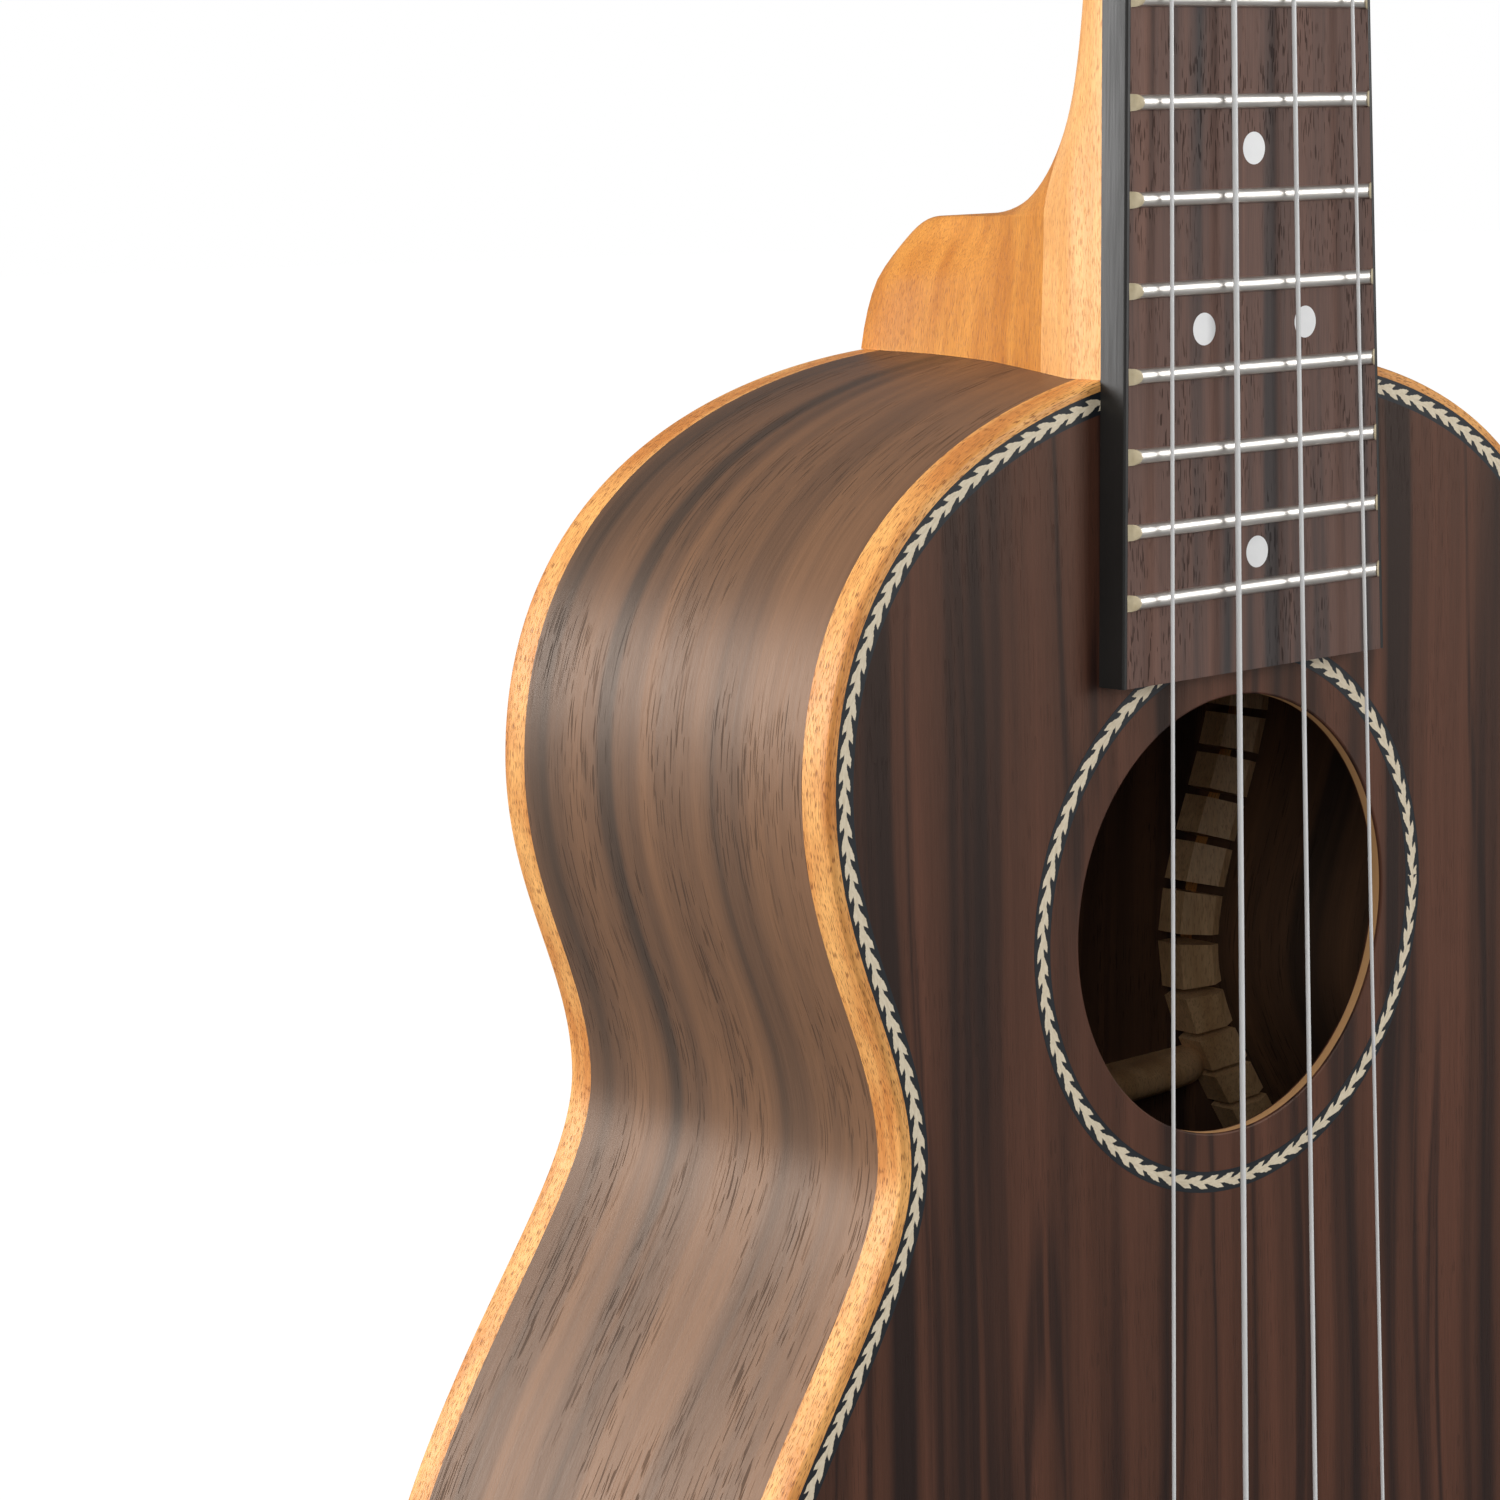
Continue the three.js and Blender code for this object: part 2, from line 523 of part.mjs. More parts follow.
function makeBridge() {
  const wings = [
    [BRIDGE_HALF_LENGTH, BRIDGE_Z - 7], [BRIDGE_HALF_LENGTH, BRIDGE_Z + 7],
    [TIE_BLOCK_HALF_LENGTH, BRIDGE_Z + 10], [-TIE_BLOCK_HALF_LENGTH, BRIDGE_Z + 10],
    [-BRIDGE_HALF_LENGTH, BRIDGE_Z + 7], [-BRIDGE_HALF_LENGTH, BRIDGE_Z - 7],
    [-TIE_BLOCK_HALF_LENGTH, BRIDGE_Z - 13], [TIE_BLOCK_HALF_LENGTH, BRIDGE_Z - 13],
  ];
  const sideProfile = [
    [0, BRIDGE_Z + 10], [0, BRIDGE_Z - 13], [-6, BRIDGE_Z - 13], [-7, BRIDGE_Z - 12],
    [-7, BRIDGE_Z - 7], [-3, BRIDGE_Z - 7], [-3, BRIDGE_Z - 5], [-5.4, BRIDGE_Z - 3.5],
    [-5.4, BRIDGE_Z + 5], [-3, BRIDGE_Z + 10],
  ];
  let timber = solid(slab(wings, -3, 0)).add(solid(crosswise(sideProfile, TIE_BLOCK_HALF_LENGTH)));
  const slot = block([-27.3, -9, BRIDGE_Z - 1.5], [27.3, -2.7, BRIDGE_Z + 1.5]);
  timber = timber.subtract(solid(slot));
  for (const x of Object.values(STRING_AT_SADDLE)) {
    const hole = slab(circle(0, 0, 0.9, 8), 0, 20).rotateX(-Math.PI / 2);
    timber = timber.subtract(solid(hole.translate(x, -TIE_HOLE_HEIGHT, BRIDGE_Z - 6)));
  }
  place('bridge', surface(timber), 'rosewood');
  const saddleTop = STRING_HEIGHT_AT_SADDLE - 0.5;
  place('saddle', block([-27, -saddleTop, BRIDGE_Z - 1.2], [27, -3, BRIDGE_Z + 1.2]), 'bone');
}

// A string as a thin many-sided rod from its post over the nut and saddle into the tie block.
function makeString(name, head) {
  const radius = STRING_GAUGES[name] / 2;
  const [side, stationZ] = POST_STATIONS[name];
  const atPost = new THREE.Vector3(side * (POST_X - POST_RADIUS - 1), -7, stationZ).applyMatrix4(head.matrix);
  const nutX = STRING_AT_NUT[name];
  const saddleX = STRING_AT_SADDLE[name];
  const route = [
    atPost,
    new THREE.Vector3(nutX, -STRING_HEIGHT_AT_NUT, NUT_LENGTH),
    new THREE.Vector3(nutX, -STRING_HEIGHT_AT_NUT, 0),
    new THREE.Vector3(saddleX, -STRING_HEIGHT_AT_SADDLE, BRIDGE_Z - 1.7),
    new THREE.Vector3(saddleX, -TIE_HOLE_HEIGHT, BRIDGE_Z - 6),
    new THREE.Vector3(saddleX, -TIE_HOLE_HEIGHT, BRIDGE_Z - 14.5),
  ];
  const rings = route.map((point) => Array.from({ length: 8 }, (_, i) => {
    const angle = (Math.PI * (2 * i + 1)) / 8;
    return [point.x + radius * Math.cos(angle), point.y + radius * Math.sin(angle), point.z];
  }));
  place(`string_${name}`, loft(rings), 'nylon');
}

makeBody();
makeFingerboard();
makeBridge();
const head = makeNeck();
for (const [name, [side, stationZ]] of Object.entries(POST_STATIONS)) {
  makeTuner(name, side, head, stationZ);
  makeString(name, head);
}

export default ukulele;
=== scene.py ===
# Concert ukulele: rosewood laminate body with amber binding and leaf purfling, light neck, geared tuners.
# Lengths are in millimetres until a mesh is made; the frame is the CAD model's, +Z up along the neck.
import math

import bpy
import numpy as np
from mathutils import Euler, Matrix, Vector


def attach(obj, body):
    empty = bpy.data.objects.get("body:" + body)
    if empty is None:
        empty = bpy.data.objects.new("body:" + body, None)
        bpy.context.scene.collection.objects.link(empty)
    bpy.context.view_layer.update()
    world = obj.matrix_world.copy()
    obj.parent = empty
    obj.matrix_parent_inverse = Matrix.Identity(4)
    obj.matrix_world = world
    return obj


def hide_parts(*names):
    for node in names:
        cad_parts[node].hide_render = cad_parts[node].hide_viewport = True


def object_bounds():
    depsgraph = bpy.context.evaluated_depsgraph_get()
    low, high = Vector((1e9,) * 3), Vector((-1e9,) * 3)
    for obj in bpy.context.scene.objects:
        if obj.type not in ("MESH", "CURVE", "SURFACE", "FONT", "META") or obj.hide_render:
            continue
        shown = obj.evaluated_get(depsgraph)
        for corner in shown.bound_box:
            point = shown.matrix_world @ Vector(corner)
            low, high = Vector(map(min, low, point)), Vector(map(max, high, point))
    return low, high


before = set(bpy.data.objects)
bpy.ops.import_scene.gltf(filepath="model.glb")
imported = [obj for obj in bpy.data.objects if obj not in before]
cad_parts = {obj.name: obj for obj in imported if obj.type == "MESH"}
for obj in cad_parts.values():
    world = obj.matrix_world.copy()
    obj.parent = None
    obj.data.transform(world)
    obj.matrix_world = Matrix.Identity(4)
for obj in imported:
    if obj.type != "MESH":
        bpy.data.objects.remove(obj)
cad_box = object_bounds()
MM = 0.001

# Studio: a wide pale floor at the foot of the instrument that glows to the camera only, a white surround,
# soft lights behind it on the left, at the right front, overhead and at the left front, and the camera,
# which stands to the left of the soundboard.
FLOOR_RADIUS = 14
FLOOR_GAP = 0.0005
FLOOR_GLOW_SHARE = 0.87
floor_place = (0, 0, cad_box[0][2] - FLOOR_GAP)
bpy.ops.mesh.primitive_circle_add(vertices=96, radius=FLOOR_RADIUS, fill_type="NGON", location=floor_place)
floor = bpy.context.object
floor.name = "studio_floor"
floor_paint = bpy.data.materials.new("studio_floor_paint")
floor_paint.use_nodes = True
paint_tree = floor_paint.node_tree
paint_tree.nodes["Principled BSDF"].inputs["Base Color"].default_value = (0.28, 0.28, 0.28, 1)
paint_tree.nodes["Principled BSDF"].inputs["Roughness"].default_value = 0.85
floor_glow = paint_tree.nodes.new("ShaderNodeEmission")
floor_glow.inputs["Strength"].default_value = 1.16
floor_ray = paint_tree.nodes.new("ShaderNodeLightPath")
floor_share = paint_tree.nodes.new("ShaderNodeMath")
floor_share.operation = "MULTIPLY"
floor_share.inputs[1].default_value = FLOOR_GLOW_SHARE
floor_mix = paint_tree.nodes.new("ShaderNodeMixShader")
paint_tree.links.new(floor_ray.outputs["Is Camera Ray"], floor_share.inputs[0])
paint_tree.links.new(floor_share.outputs[0], floor_mix.inputs[0])
paint_tree.links.new(paint_tree.nodes["Principled BSDF"].outputs[0], floor_mix.inputs[1])
paint_tree.links.new(floor_glow.outputs[0], floor_mix.inputs[2])
paint_tree.links.new(floor_mix.outputs[0], paint_tree.nodes["Material Output"].inputs["Surface"])
floor.data.materials.append(floor_paint)

surround = bpy.data.worlds.new("studio_surround")
surround.use_nodes = True
bpy.context.scene.world = surround
sky = surround.node_tree
sky_light = sky.nodes["Background"]
sky_light.inputs["Color"].default_value = (0.97, 0.98, 1.0, 1)
sky_light.inputs["Strength"].default_value = 0.25
sky_seen = sky.nodes.new("ShaderNodeBackground")
sky_seen.inputs["Color"].default_value = (1, 1, 1, 1)
sky_seen.inputs["Strength"].default_value = 1.0
sky_pick = sky.nodes.new("ShaderNodeMixShader")
sky_ray = sky.nodes.new("ShaderNodeLightPath")
sky.links.new(sky_ray.outputs["Is Camera Ray"], sky_pick.inputs[0])
sky.links.new(sky_light.outputs[0], sky_pick.inputs[1])
sky.links.new(sky_seen.outputs[0], sky_pick.inputs[2])
sky.links.new(sky_pick.outputs[0], sky.nodes["World Output"].inputs["Surface"])


def soft_light(name, power, size, place, aim):
    """A rectangular area light of that size in metres, at a place and pointing at another."""
    lamp = bpy.data.lights.new(name, "AREA")
    lamp.shape = "RECTANGLE"
    lamp.size, lamp.size_y = size
    lamp.energy = power
    holder = bpy.data.objects.new(name, lamp)
    bpy.context.scene.collection.objects.link(holder)
    holder.location = place
    away = np.array(place) - np.array(aim)
    level = math.hypot(away[0], away[1])
    holder.rotation_euler = (math.atan2(level, away[2]), 0, math.atan2(away[0], -away[1]))


middle = (0, 0.03, -0.28)
soft_light("left_softbox", 20, (0.75, 0.65), (-1.05, 0.97, 0.08), middle)
soft_light("right_softbox", 10, (0.7, 0.6), (0.85, -1.1, 0.08), middle)
soft_light("top_softbox", 8, (1.2, 1.2), (-0.6, -0.2, 1.2), middle)
soft_light("front_fill", 4.5, (0.7, 0.7), (-1.0, -0.75, 0.25), middle)

camera_data = bpy.data.cameras.new("camera")
camera_data.lens = 86.1
camera = bpy.data.objects.new("camera", camera_data)
camera.location = (-0.3703, -0.3394, -0.1617)
camera.rotation_mode = "QUATERNION"
turn = Euler((0, 0, math.radians(-39.7))).to_quaternion()
tip = Euler((math.radians(90 - 9.13), 0, 0)).to_quaternion()
lean = Euler((0, 0, math.radians(-1.75))).to_quaternion()
camera.rotation_quaternion = turn @ tip @ lean
bpy.context.scene.collection.objects.link(camera)
bpy.context.scene.camera = camera
bpy.context.scene.view_settings.view_transform = "Standard"

# Soundboard: a two-millimetre laminate with a striped rosewood face, its grain along the strings. The
# round hole is routed through it, with a light core showing in its wall, and a ring channel round it.
BODY_TOP_Z = -189.3
BODY_LENGTH = 285.7
CROWN_Z = -187.9
UPPER_BOUT = (76, -242.3)
WAIST = (64.5, -290.8)
LOWER_BOUT = (106.4, -398)
HOLE_Z = -267.4
HOLE_RADIUS = 31.4
ROSETTE_INNER = 36.9
ROSETTE_OUTER = 39.9
PLATE = 2.0
BINDING_WIDTH = 1.4
PURFLING_WIDTH = 3.0
OUTLINE_STEPS = 90


def half_outline(steps):
    """Right half of the body's outline from neck joint to tail: four cubic curves that meet level or
    upright at the widest and narrowest places. Returns x, z and the outward direction at each point."""
    tail_z = BODY_TOP_Z - BODY_LENGTH
    corners = np.array([
        [(0, CROWN_Z), (14.9, CROWN_Z), (UPPER_BOUT[0], UPPER_BOUT[1] + 51.2), UPPER_BOUT],
        [UPPER_BOUT, (UPPER_BOUT[0], UPPER_BOUT[1] - 20), (WAIST[0], WAIST[1] + 15.8), WAIST],
        [WAIST, (WAIST[0], WAIST[1] - 22.5), (LOWER_BOUT[0], LOWER_BOUT[1] + 58.5), LOWER_BOUT],
        [LOWER_BOUT, (LOWER_BOUT[0], LOWER_BOUT[1] - 43), (60, tail_z), (0, tail_z)],
    ])
    t = np.linspace(0, 1, steps + 1)[:-1]
    weights = np.stack([(1 - t) ** 3, 3 * t * (1 - t) ** 2, 3 * t**2 * (1 - t), t**3])
    slopes = np.stack([-((1 - t) ** 2), (1 - t) * (1 - 3 * t), t * (2 - 3 * t), t**2])
    points = np.einsum("ct,kcd->ktd", weights, corners).reshape(-1, 2)
    along = np.einsum("ct,kcd->ktd", slopes, corners).reshape(-1, 2)
    points = np.vstack([points, (0, tail_z)])
    along = np.vstack([along, (-1, 0)])
    along /= np.linalg.norm(along, axis=1)[:, None]
    return points[:, 0], points[:, 1], -along[:, 1], along[:, 0]


def whole_outline(steps):
    """The closed outline: the right half, then its mirror image back up the left side."""
    x, z, out_x, out_z = half_outline(steps)
    back = slice(-2, 0, -1)
    return (np.r_[x, -x[back]], np.r_[z, z[back]], np.r_[out_x, -out_x[back]], np.r_[out_z, out_z[back]])


def lengths(points, closed):
    """Distance walked along each line of points, with the closing step last if the line is a loop."""
    if closed:
        points = np.concatenate([points, points[:1]])
    steps = np.linalg.norm(np.diff(points, axis=0), axis=-1)
    return np.concatenate([[0], np.cumsum(steps)])


def grid_piece(name, points, loop_rows=False, loop_columns=True, caps=True, sharp=35):
    """A mesh from grids of points in millimetres, shape (rows, columns, 3) or (parts, rows, columns, 3):
    quads between neighbours, each direction closed into a loop or not, flat caps on the open ends of a
    tube, and a UV map in metres, along the rows and then across them."""
    points = points.reshape(-1, *points.shape[-3:])
    parts, rows, columns, _ = points.shape
    i = np.arange(rows if loop_rows else rows - 1)[:, None]
    j = np.arange(columns if loop_columns else columns - 1)[None, :]
    i2, j2 = (i + 1) % rows, (j + 1) % columns
    quads = np.stack([i * columns + j, i * columns + j2, i2 * columns + j2, i2 * columns + j], -1)
    quads = quads.reshape(-1, 4)
    u_line = lengths(points[0][:, 0], loop_rows)
    v_line = lengths(points[0][rows // 2], loop_columns)
    near_u, far_u = u_line[i + 0 * j], u_line[i + 1 + 0 * j]
    near_v, far_v = v_line[j + 0 * i], v_line[j + 1 + 0 * i]
    u = np.stack([near_u, near_u, far_u, far_u], -1)
    v = np.stack([near_v, far_v, far_v, near_v], -1)
    uv = np.stack([u, v], -1).reshape(-1, 2)
    corners = quads.ravel()
    starts = np.arange(0, len(corners), 4)
    if caps and loop_columns and not loop_rows:
        first = np.arange(columns)[::-1]
        last = np.arange(columns) + (rows - 1) * columns
        starts = np.r_[starts, len(corners), len(corners) + columns]
        corners = np.r_[corners, first, last]
        rim = np.stack([points[0][0, :, 0], points[0][0, :, 1] + points[0][0, :, 2]], -1)
        uv = np.vstack([uv, rim[::-1], rim])
    if signed_volume(points[0], quads) < 0:
        corners, uv = corners[::-1], uv[::-1]
        starts = np.sort(len(corners) - np.r_[starts[1:], len(corners)])
    part = np.arange(parts)[:, None]
    loops, faces = len(corners), len(starts)
    corners = (corners + part * rows * columns).ravel()
    starts = (starts + part * loops).ravel()
    mesh = bpy.data.meshes.new(name)
    mesh.vertices.add(parts * rows * columns)
    mesh.vertices.foreach_set("co", (points * MM).reshape(-1).astype(np.float32))
    mesh.loops.add(parts * loops)
    mesh.loops.foreach_set("vertex_index", corners.astype(np.int32))
    mesh.polygons.add(parts * faces)
    mesh.polygons.foreach_set("loop_start", starts.astype(np.int32))
    mesh.uv_layers.new(name="UVMap")
    uv = np.tile(uv, (parts, 1)) * MM
    mesh.uv_layers[0].data.foreach_set("uv", uv.reshape(-1).astype(np.float32))
    mesh.polygons.foreach_set("use_smooth", np.ones(parts * faces, bool))
    mesh.update(calc_edges=True)
    mesh.set_sharp_from_angle(angle=math.radians(sharp))
    piece = bpy.data.objects.new(name, mesh)
    bpy.context.scene.collection.objects.link(piece)
    return piece


def signed_volume(points, quads):
    """Six times the volume inside the quads, negative when they face inwards."""
    p = points.reshape(-1, 3)
    p = p - p.mean(axis=0)
    a, b, c, d = (p[quads[:, k]] for k in range(4))
    return float(np.einsum("ij,ij->", a, np.cross(b, c)) + np.einsum("ij,ij->", a, np.cross(c, d)))


def finish_piece(piece, material, node=None, body="body"):
    """Gives a piece its material and its body, and hides the CAD node it stands for."""
    piece.data.materials.append(material)
    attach(piece, body)
    if node:
        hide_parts(node)
    return piece


def node(tree, kind, inputs=None, **settings):
    """Adds a shader node, sets its properties, and feeds its inputs with values or other nodes' outputs."""
    made = tree.nodes.new("ShaderNode" + kind)
    for key, value in settings.items():
        setattr(made, key, value)
    for key, value in (inputs or {}).items():
        if isinstance(value, bpy.types.NodeSocket):
            tree.links.new(value, made.inputs[key])
        else:
            made.inputs[key].default_value = value
    return made


def calc(tree, operation, a, b=0.0, c=0.0):
    """One step of arithmetic on sockets or numbers."""
    return node(tree, "Math", {0: a, 1: b, 2: c}, operation=operation).outputs[0]


def rise(tree, value, low, high):
    """A smooth step from 0 at low to 1 at high."""
    inputs = {"Value": value, "From Min": low, "From Max": high}
    return node(tree, "MapRange", inputs, interpolation_type="SMOOTHSTEP").outputs[0]


def blend_colour(tree, share, a, b, how="MIX"):
    """Mixes two colours by a share from 0 to 1."""
    made = node(tree, "Mix", {0: share, 6: a, 7: b}, data_type="RGBA", blend_type=how)
    return made.outputs[2]


def new_group(name, inputs, outputs):
    """An empty shader node group with those named sockets. Returns its tree, what comes in and what
    goes out."""
    tree = bpy.data.node_groups.new(name, "ShaderNodeTree")
    kinds = {"vector": "NodeSocketVector", "colour": "NodeSocketColor", "number": "NodeSocketFloat"}
    for label, kind in inputs:
        tree.interface.new_socket(name=label, in_out="INPUT", socket_type=kinds[kind])
    for label, kind in outputs:
        tree.interface.new_socket(name=label, in_out="OUTPUT", socket_type=kinds[kind])
    return tree, tree.nodes.new("NodeGroupInput").outputs, tree.nodes.new("NodeGroupOutput").inputs


def stretched_noise(tree, across, along, width, run, detail=2.0, depth=0.0):
    """Noise drawn out along the grain: marks about that wide and deep and that long, in millimetres."""
    place = node(tree, "CombineXYZ", {
        0: calc(tree, "DIVIDE", across, width), 1: calc(tree, "DIVIDE", along, run),
        2: calc(tree, "DIVIDE", depth, width),
    }).outputs[0]
    return node(tree, "TexNoise", {"Vector": place, "Scale": 1.0, "Detail": detail}).outputs["Fac"]


def make_banded_wood():
    """Striped rosewood. Place holds the distance across the grain, along it and into it, in metres. Dark
    bands with soft sides, thin growth lines, fine fibres and short open pores, thicker in some patches."""
    tree, given, out = new_group(
        "banded_wood",
        [("Place", "vector"), ("Band Width", "number"), ("Pale", "colour"), ("Middle", "colour"),
         ("Dark", "colour"), ("Lines", "number"), ("Pores", "number"), ("Pore Length", "number"),
         ("Gloss", "number")],
        [("Color", "colour"), ("Roughness", "number"), ("Height", "number")],
    )
    parts = node(tree, "SeparateXYZ", {0: given["Place"]}).outputs
    across = calc(tree, "MULTIPLY", parts[0], 1000)
    along = calc(tree, "MULTIPLY", parts[1], 1000)
    depth = calc(tree, "MULTIPLY", parts[2], 1000)
    wander = stretched_noise(tree, across, along, 45, 130, 1.0, depth)
    jitter = stretched_noise(tree, across, along, 6, 22, 2.0, depth)
    wavy = calc(tree, "MULTIPLY_ADD", wander, 9, across)
    wavy = calc(tree, "MULTIPLY_ADD", jitter, 0.7, wavy)
    share = calc(tree, "DIVIDE", wavy, given["Band Width"])
    deep = calc(tree, "DIVIDE", depth, given["Band Width"])
    bands = stretched_noise(tree, share, along, 1.0, 420, 2.0, deep)
    lines = stretched_noise(tree, share, along, 0.2, 300, 2.0, deep)
    fibres = stretched_noise(tree, across, along, 0.14, 7, 2.0, depth)
    streaks = stretched_noise(tree, across, along, 0.5, 40, 3.0, depth)
    run = calc(tree, "DIVIDE", along, given["Pore Length"])
    pores = stretched_noise(tree, across, run, 0.24, 1.0, 0.0, depth)
    clusters = stretched_noise(tree, across, along, 8, 24, 2.0, depth)
    middle = blend_colour(tree, rise(tree, bands, 0.34, 0.5), given["Dark"], given["Middle"])
    figure = blend_colour(tree, rise(tree, bands, 0.48, 0.66), middle, given["Pale"])
    veins = stretched_noise(tree, share, along, 1.5, 330, 1.0, calc(tree, "ADD", deep, 7.3))
    level = calc(tree, "ABSOLUTE", calc(tree, "SUBTRACT", veins, 0.5))
    stripe = calc(tree, "MULTIPLY", rise(tree, level, 0.040, 0.006), rise(tree, lines, 0.30, 0.55))
    line_mask = calc(tree, "MULTIPLY", stripe, given["Lines"])
    figure = blend_colour(tree, line_mask, figure, given["Dark"])
    shade = calc(tree, "MULTIPLY_ADD", fibres, 0.5, 0.56)
    shade = calc(tree, "ADD", shade, calc(tree, "MULTIPLY", streaks, 0.4))
    tint = node(tree, "CombineXYZ", {0: shade, 1: shade, 2: shade}).outputs[0]
    figure = blend_colour(tree, 1.0, figure, tint, "MULTIPLY")
    open_pores = calc(tree, "MULTIPLY", rise(tree, pores, 0.63, 0.69), rise(tree, clusters, 0.42, 0.6))
    open_pores = calc(tree, "MULTIPLY", open_pores, given["Pores"])
    figure = blend_colour(tree, open_pores, figure, (0.010, 0.006, 0.005, 1))
    tree.links.new(figure, out["Color"])
    rough = calc(tree, "MULTIPLY_ADD", streaks, 0.18, given["Gloss"])
    tree.links.new(calc(tree, "MULTIPLY_ADD", open_pores, 0.4, rough), out["Roughness"])
    height = calc(tree, "SUBTRACT", calc(tree, "MULTIPLY", fibres, 0.3), open_pores)
    tree.links.new(height, out["Height"])
    return tree


banded_wood = make_banded_wood()
WARM_SHEEN = (1, 0.78, 0.62, 1)


def new_material(name, metallic=0.0, coat=0.0, specular=0.5, sheen=(1, 1, 1, 1)):
    """A material with a Principled shader, its highlights tinted by sheen. Returns it, its tree, the shader
    and its object coordinates."""
    material = bpy.data.materials.new(name)
    material.use_nodes = True
    tree = material.node_tree
    shader = tree.nodes["Principled BSDF"]
    shader.inputs["Metallic"].default_value = metallic
    shader.inputs["Coat Weight"].default_value = coat
    shader.inputs["Coat Roughness"].default_value = 0.35
    shader.inputs["Specular IOR Level"].default_value = specular
    shader.inputs["Specular Tint"].default_value = sheen
    return material, tree, shader, node(tree, "TexCoord")


def add_relief(tree, shader, height, distance, strength):
    """Tilts the surface as if a height map from 0 to 1 stood that many metres high on it."""
    bump = node(tree, "Bump", {"Height": height, "Distance": distance, "Strength": strength})
    tree.links.new(bump.outputs[0], shader.inputs["Normal"])


def use_group(tree, shader, group, values, relief):
    """Places an effect group in a material and wires its colour, roughness and relief to the shader."""
    made = node(tree, "Group", node_tree=group)
    for key, value in values.items():
        if isinstance(value, bpy.types.NodeSocket):
            tree.links.new(value, made.inputs[key])
        else:
            made.inputs[key].default_value = value
    tree.links.new(made.outputs["Color"], shader.inputs["Base Color"])
    tree.links.new(made.outputs["Roughness"], shader.inputs["Roughness"])
    add_relief(tree, shader, made.outputs["Height"], relief, 0.6)
    return made


def upright_place(tree, coords, seed, mirrored=False):
    """Grain coordinates of a piece whose grain runs up the instrument: across X, along Z and into Y."""
    parts = node(tree, "SeparateXYZ", {0: coords.outputs["Object"]}).outputs
    across = calc(tree, "ABSOLUTE", parts[0]) if mirrored else parts[0]
    deep = calc(tree, "ADD", parts[1], seed * MM)
    return node(tree, "CombineXYZ", {0: across, 1: parts[2], 2: deep}).outputs[0], parts


CORE_FRONT = 0.0004
CORE_BACK = 0.0018
CORE_COLOUR = (0.62, 0.34, 0.15, 1)
soundboard_finish, tree, shader, coords = new_material("soundboard_finish", specular=0.3, sheen=WARM_SHEEN)
place, parts = upright_place(tree, coords, 0)
wood = use_group(tree, shader, banded_wood, {
    "Place": place, "Band Width": 8.0, "Pale": (0.108, 0.041, 0.025, 1), "Middle": (0.075, 0.029, 0.018, 1),
    "Dark": (0.016, 0.008, 0.008, 1), "Lines": 0.8, "Pores": 0.25, "Pore Length": 4.0, "Gloss": 0.36,
}, 0.00012)
behind_face = rise(tree, parts[1], CORE_FRONT, CORE_FRONT + 0.0001)
before_inner_ply = rise(tree, parts[1], CORE_BACK, CORE_BACK - 0.0001)
in_core = calc(tree, "MULTIPLY", behind_face, before_inner_ply)
core_shown = blend_colour(tree, in_core, wood.outputs["Color"], CORE_COLOUR)
tree.links.new(core_shown, shader.inputs["Base Color"])


def make_soundboard():
    """A closed sheet swept round the hole: each row runs from the hole's wall, over its eased rim and the
    ring channel, straight out to the edge of the plate, and back underneath."""
    x, z, out_x, out_z = whole_outline(OUTLINE_STEPS)
    inset = BINDING_WIDTH + PURFLING_WIDTH
    edge = np.stack([x - out_x * inset, z - out_z * inset], -1)
    spoke = edge - (0, HOLE_Z)
    reach = np.linalg.norm(spoke, axis=1)
    spoke /= reach[:, None]
    near = [(HOLE_RADIUS, PLATE), (HOLE_RADIUS, 0.3), (HOLE_RADIUS + 0.08, 0.1), (HOLE_RADIUS + 0.28, 0),
            (ROSETTE_INNER - 0.03, 0), (ROSETTE_INNER, 0.04), (ROSETTE_INNER, 0.9), (ROSETTE_OUTER, 0.9),
            (ROSETTE_OUTER, 0.04), (ROSETTE_OUTER + 0.03, 0)]
    far = [(0.2, 0), (0.45, 0), (0.7, 0), (1, 0), (1, PLATE), (0.5, PLATE)]
    radii = [np.full_like(reach, radius) for radius, _ in near]
    radii += [ROSETTE_OUTER + (reach - ROSETTE_OUTER) * share for share, _ in far]
    radii = np.stack(radii, -1)
    depths = np.array([y for _, y in near] + [y for _, y in far])
    points = np.stack([
        radii * spoke[:, :1], np.broadcast_to(depths, radii.shape), HOLE_Z + radii * spoke[:, 1:],
    ], -1)
    return grid_piece("soundboard", points, loop_rows=True, sharp=25)


finish_piece(make_soundboard(), soundboard_finish, "top_plate")

# Purfling and rosette: three-ply marquetry strips, black either side of a cream vine of slanted leaves,
# bought in lengths, bent and glued into their channels, then scraped level with the soundboard.
LEAF_PITCH = 3.2
STEM = 0.27
LEAF_REACH = 0.95
LEAF_SLANT = 0.95
LEAF_STAGGER = 0.37


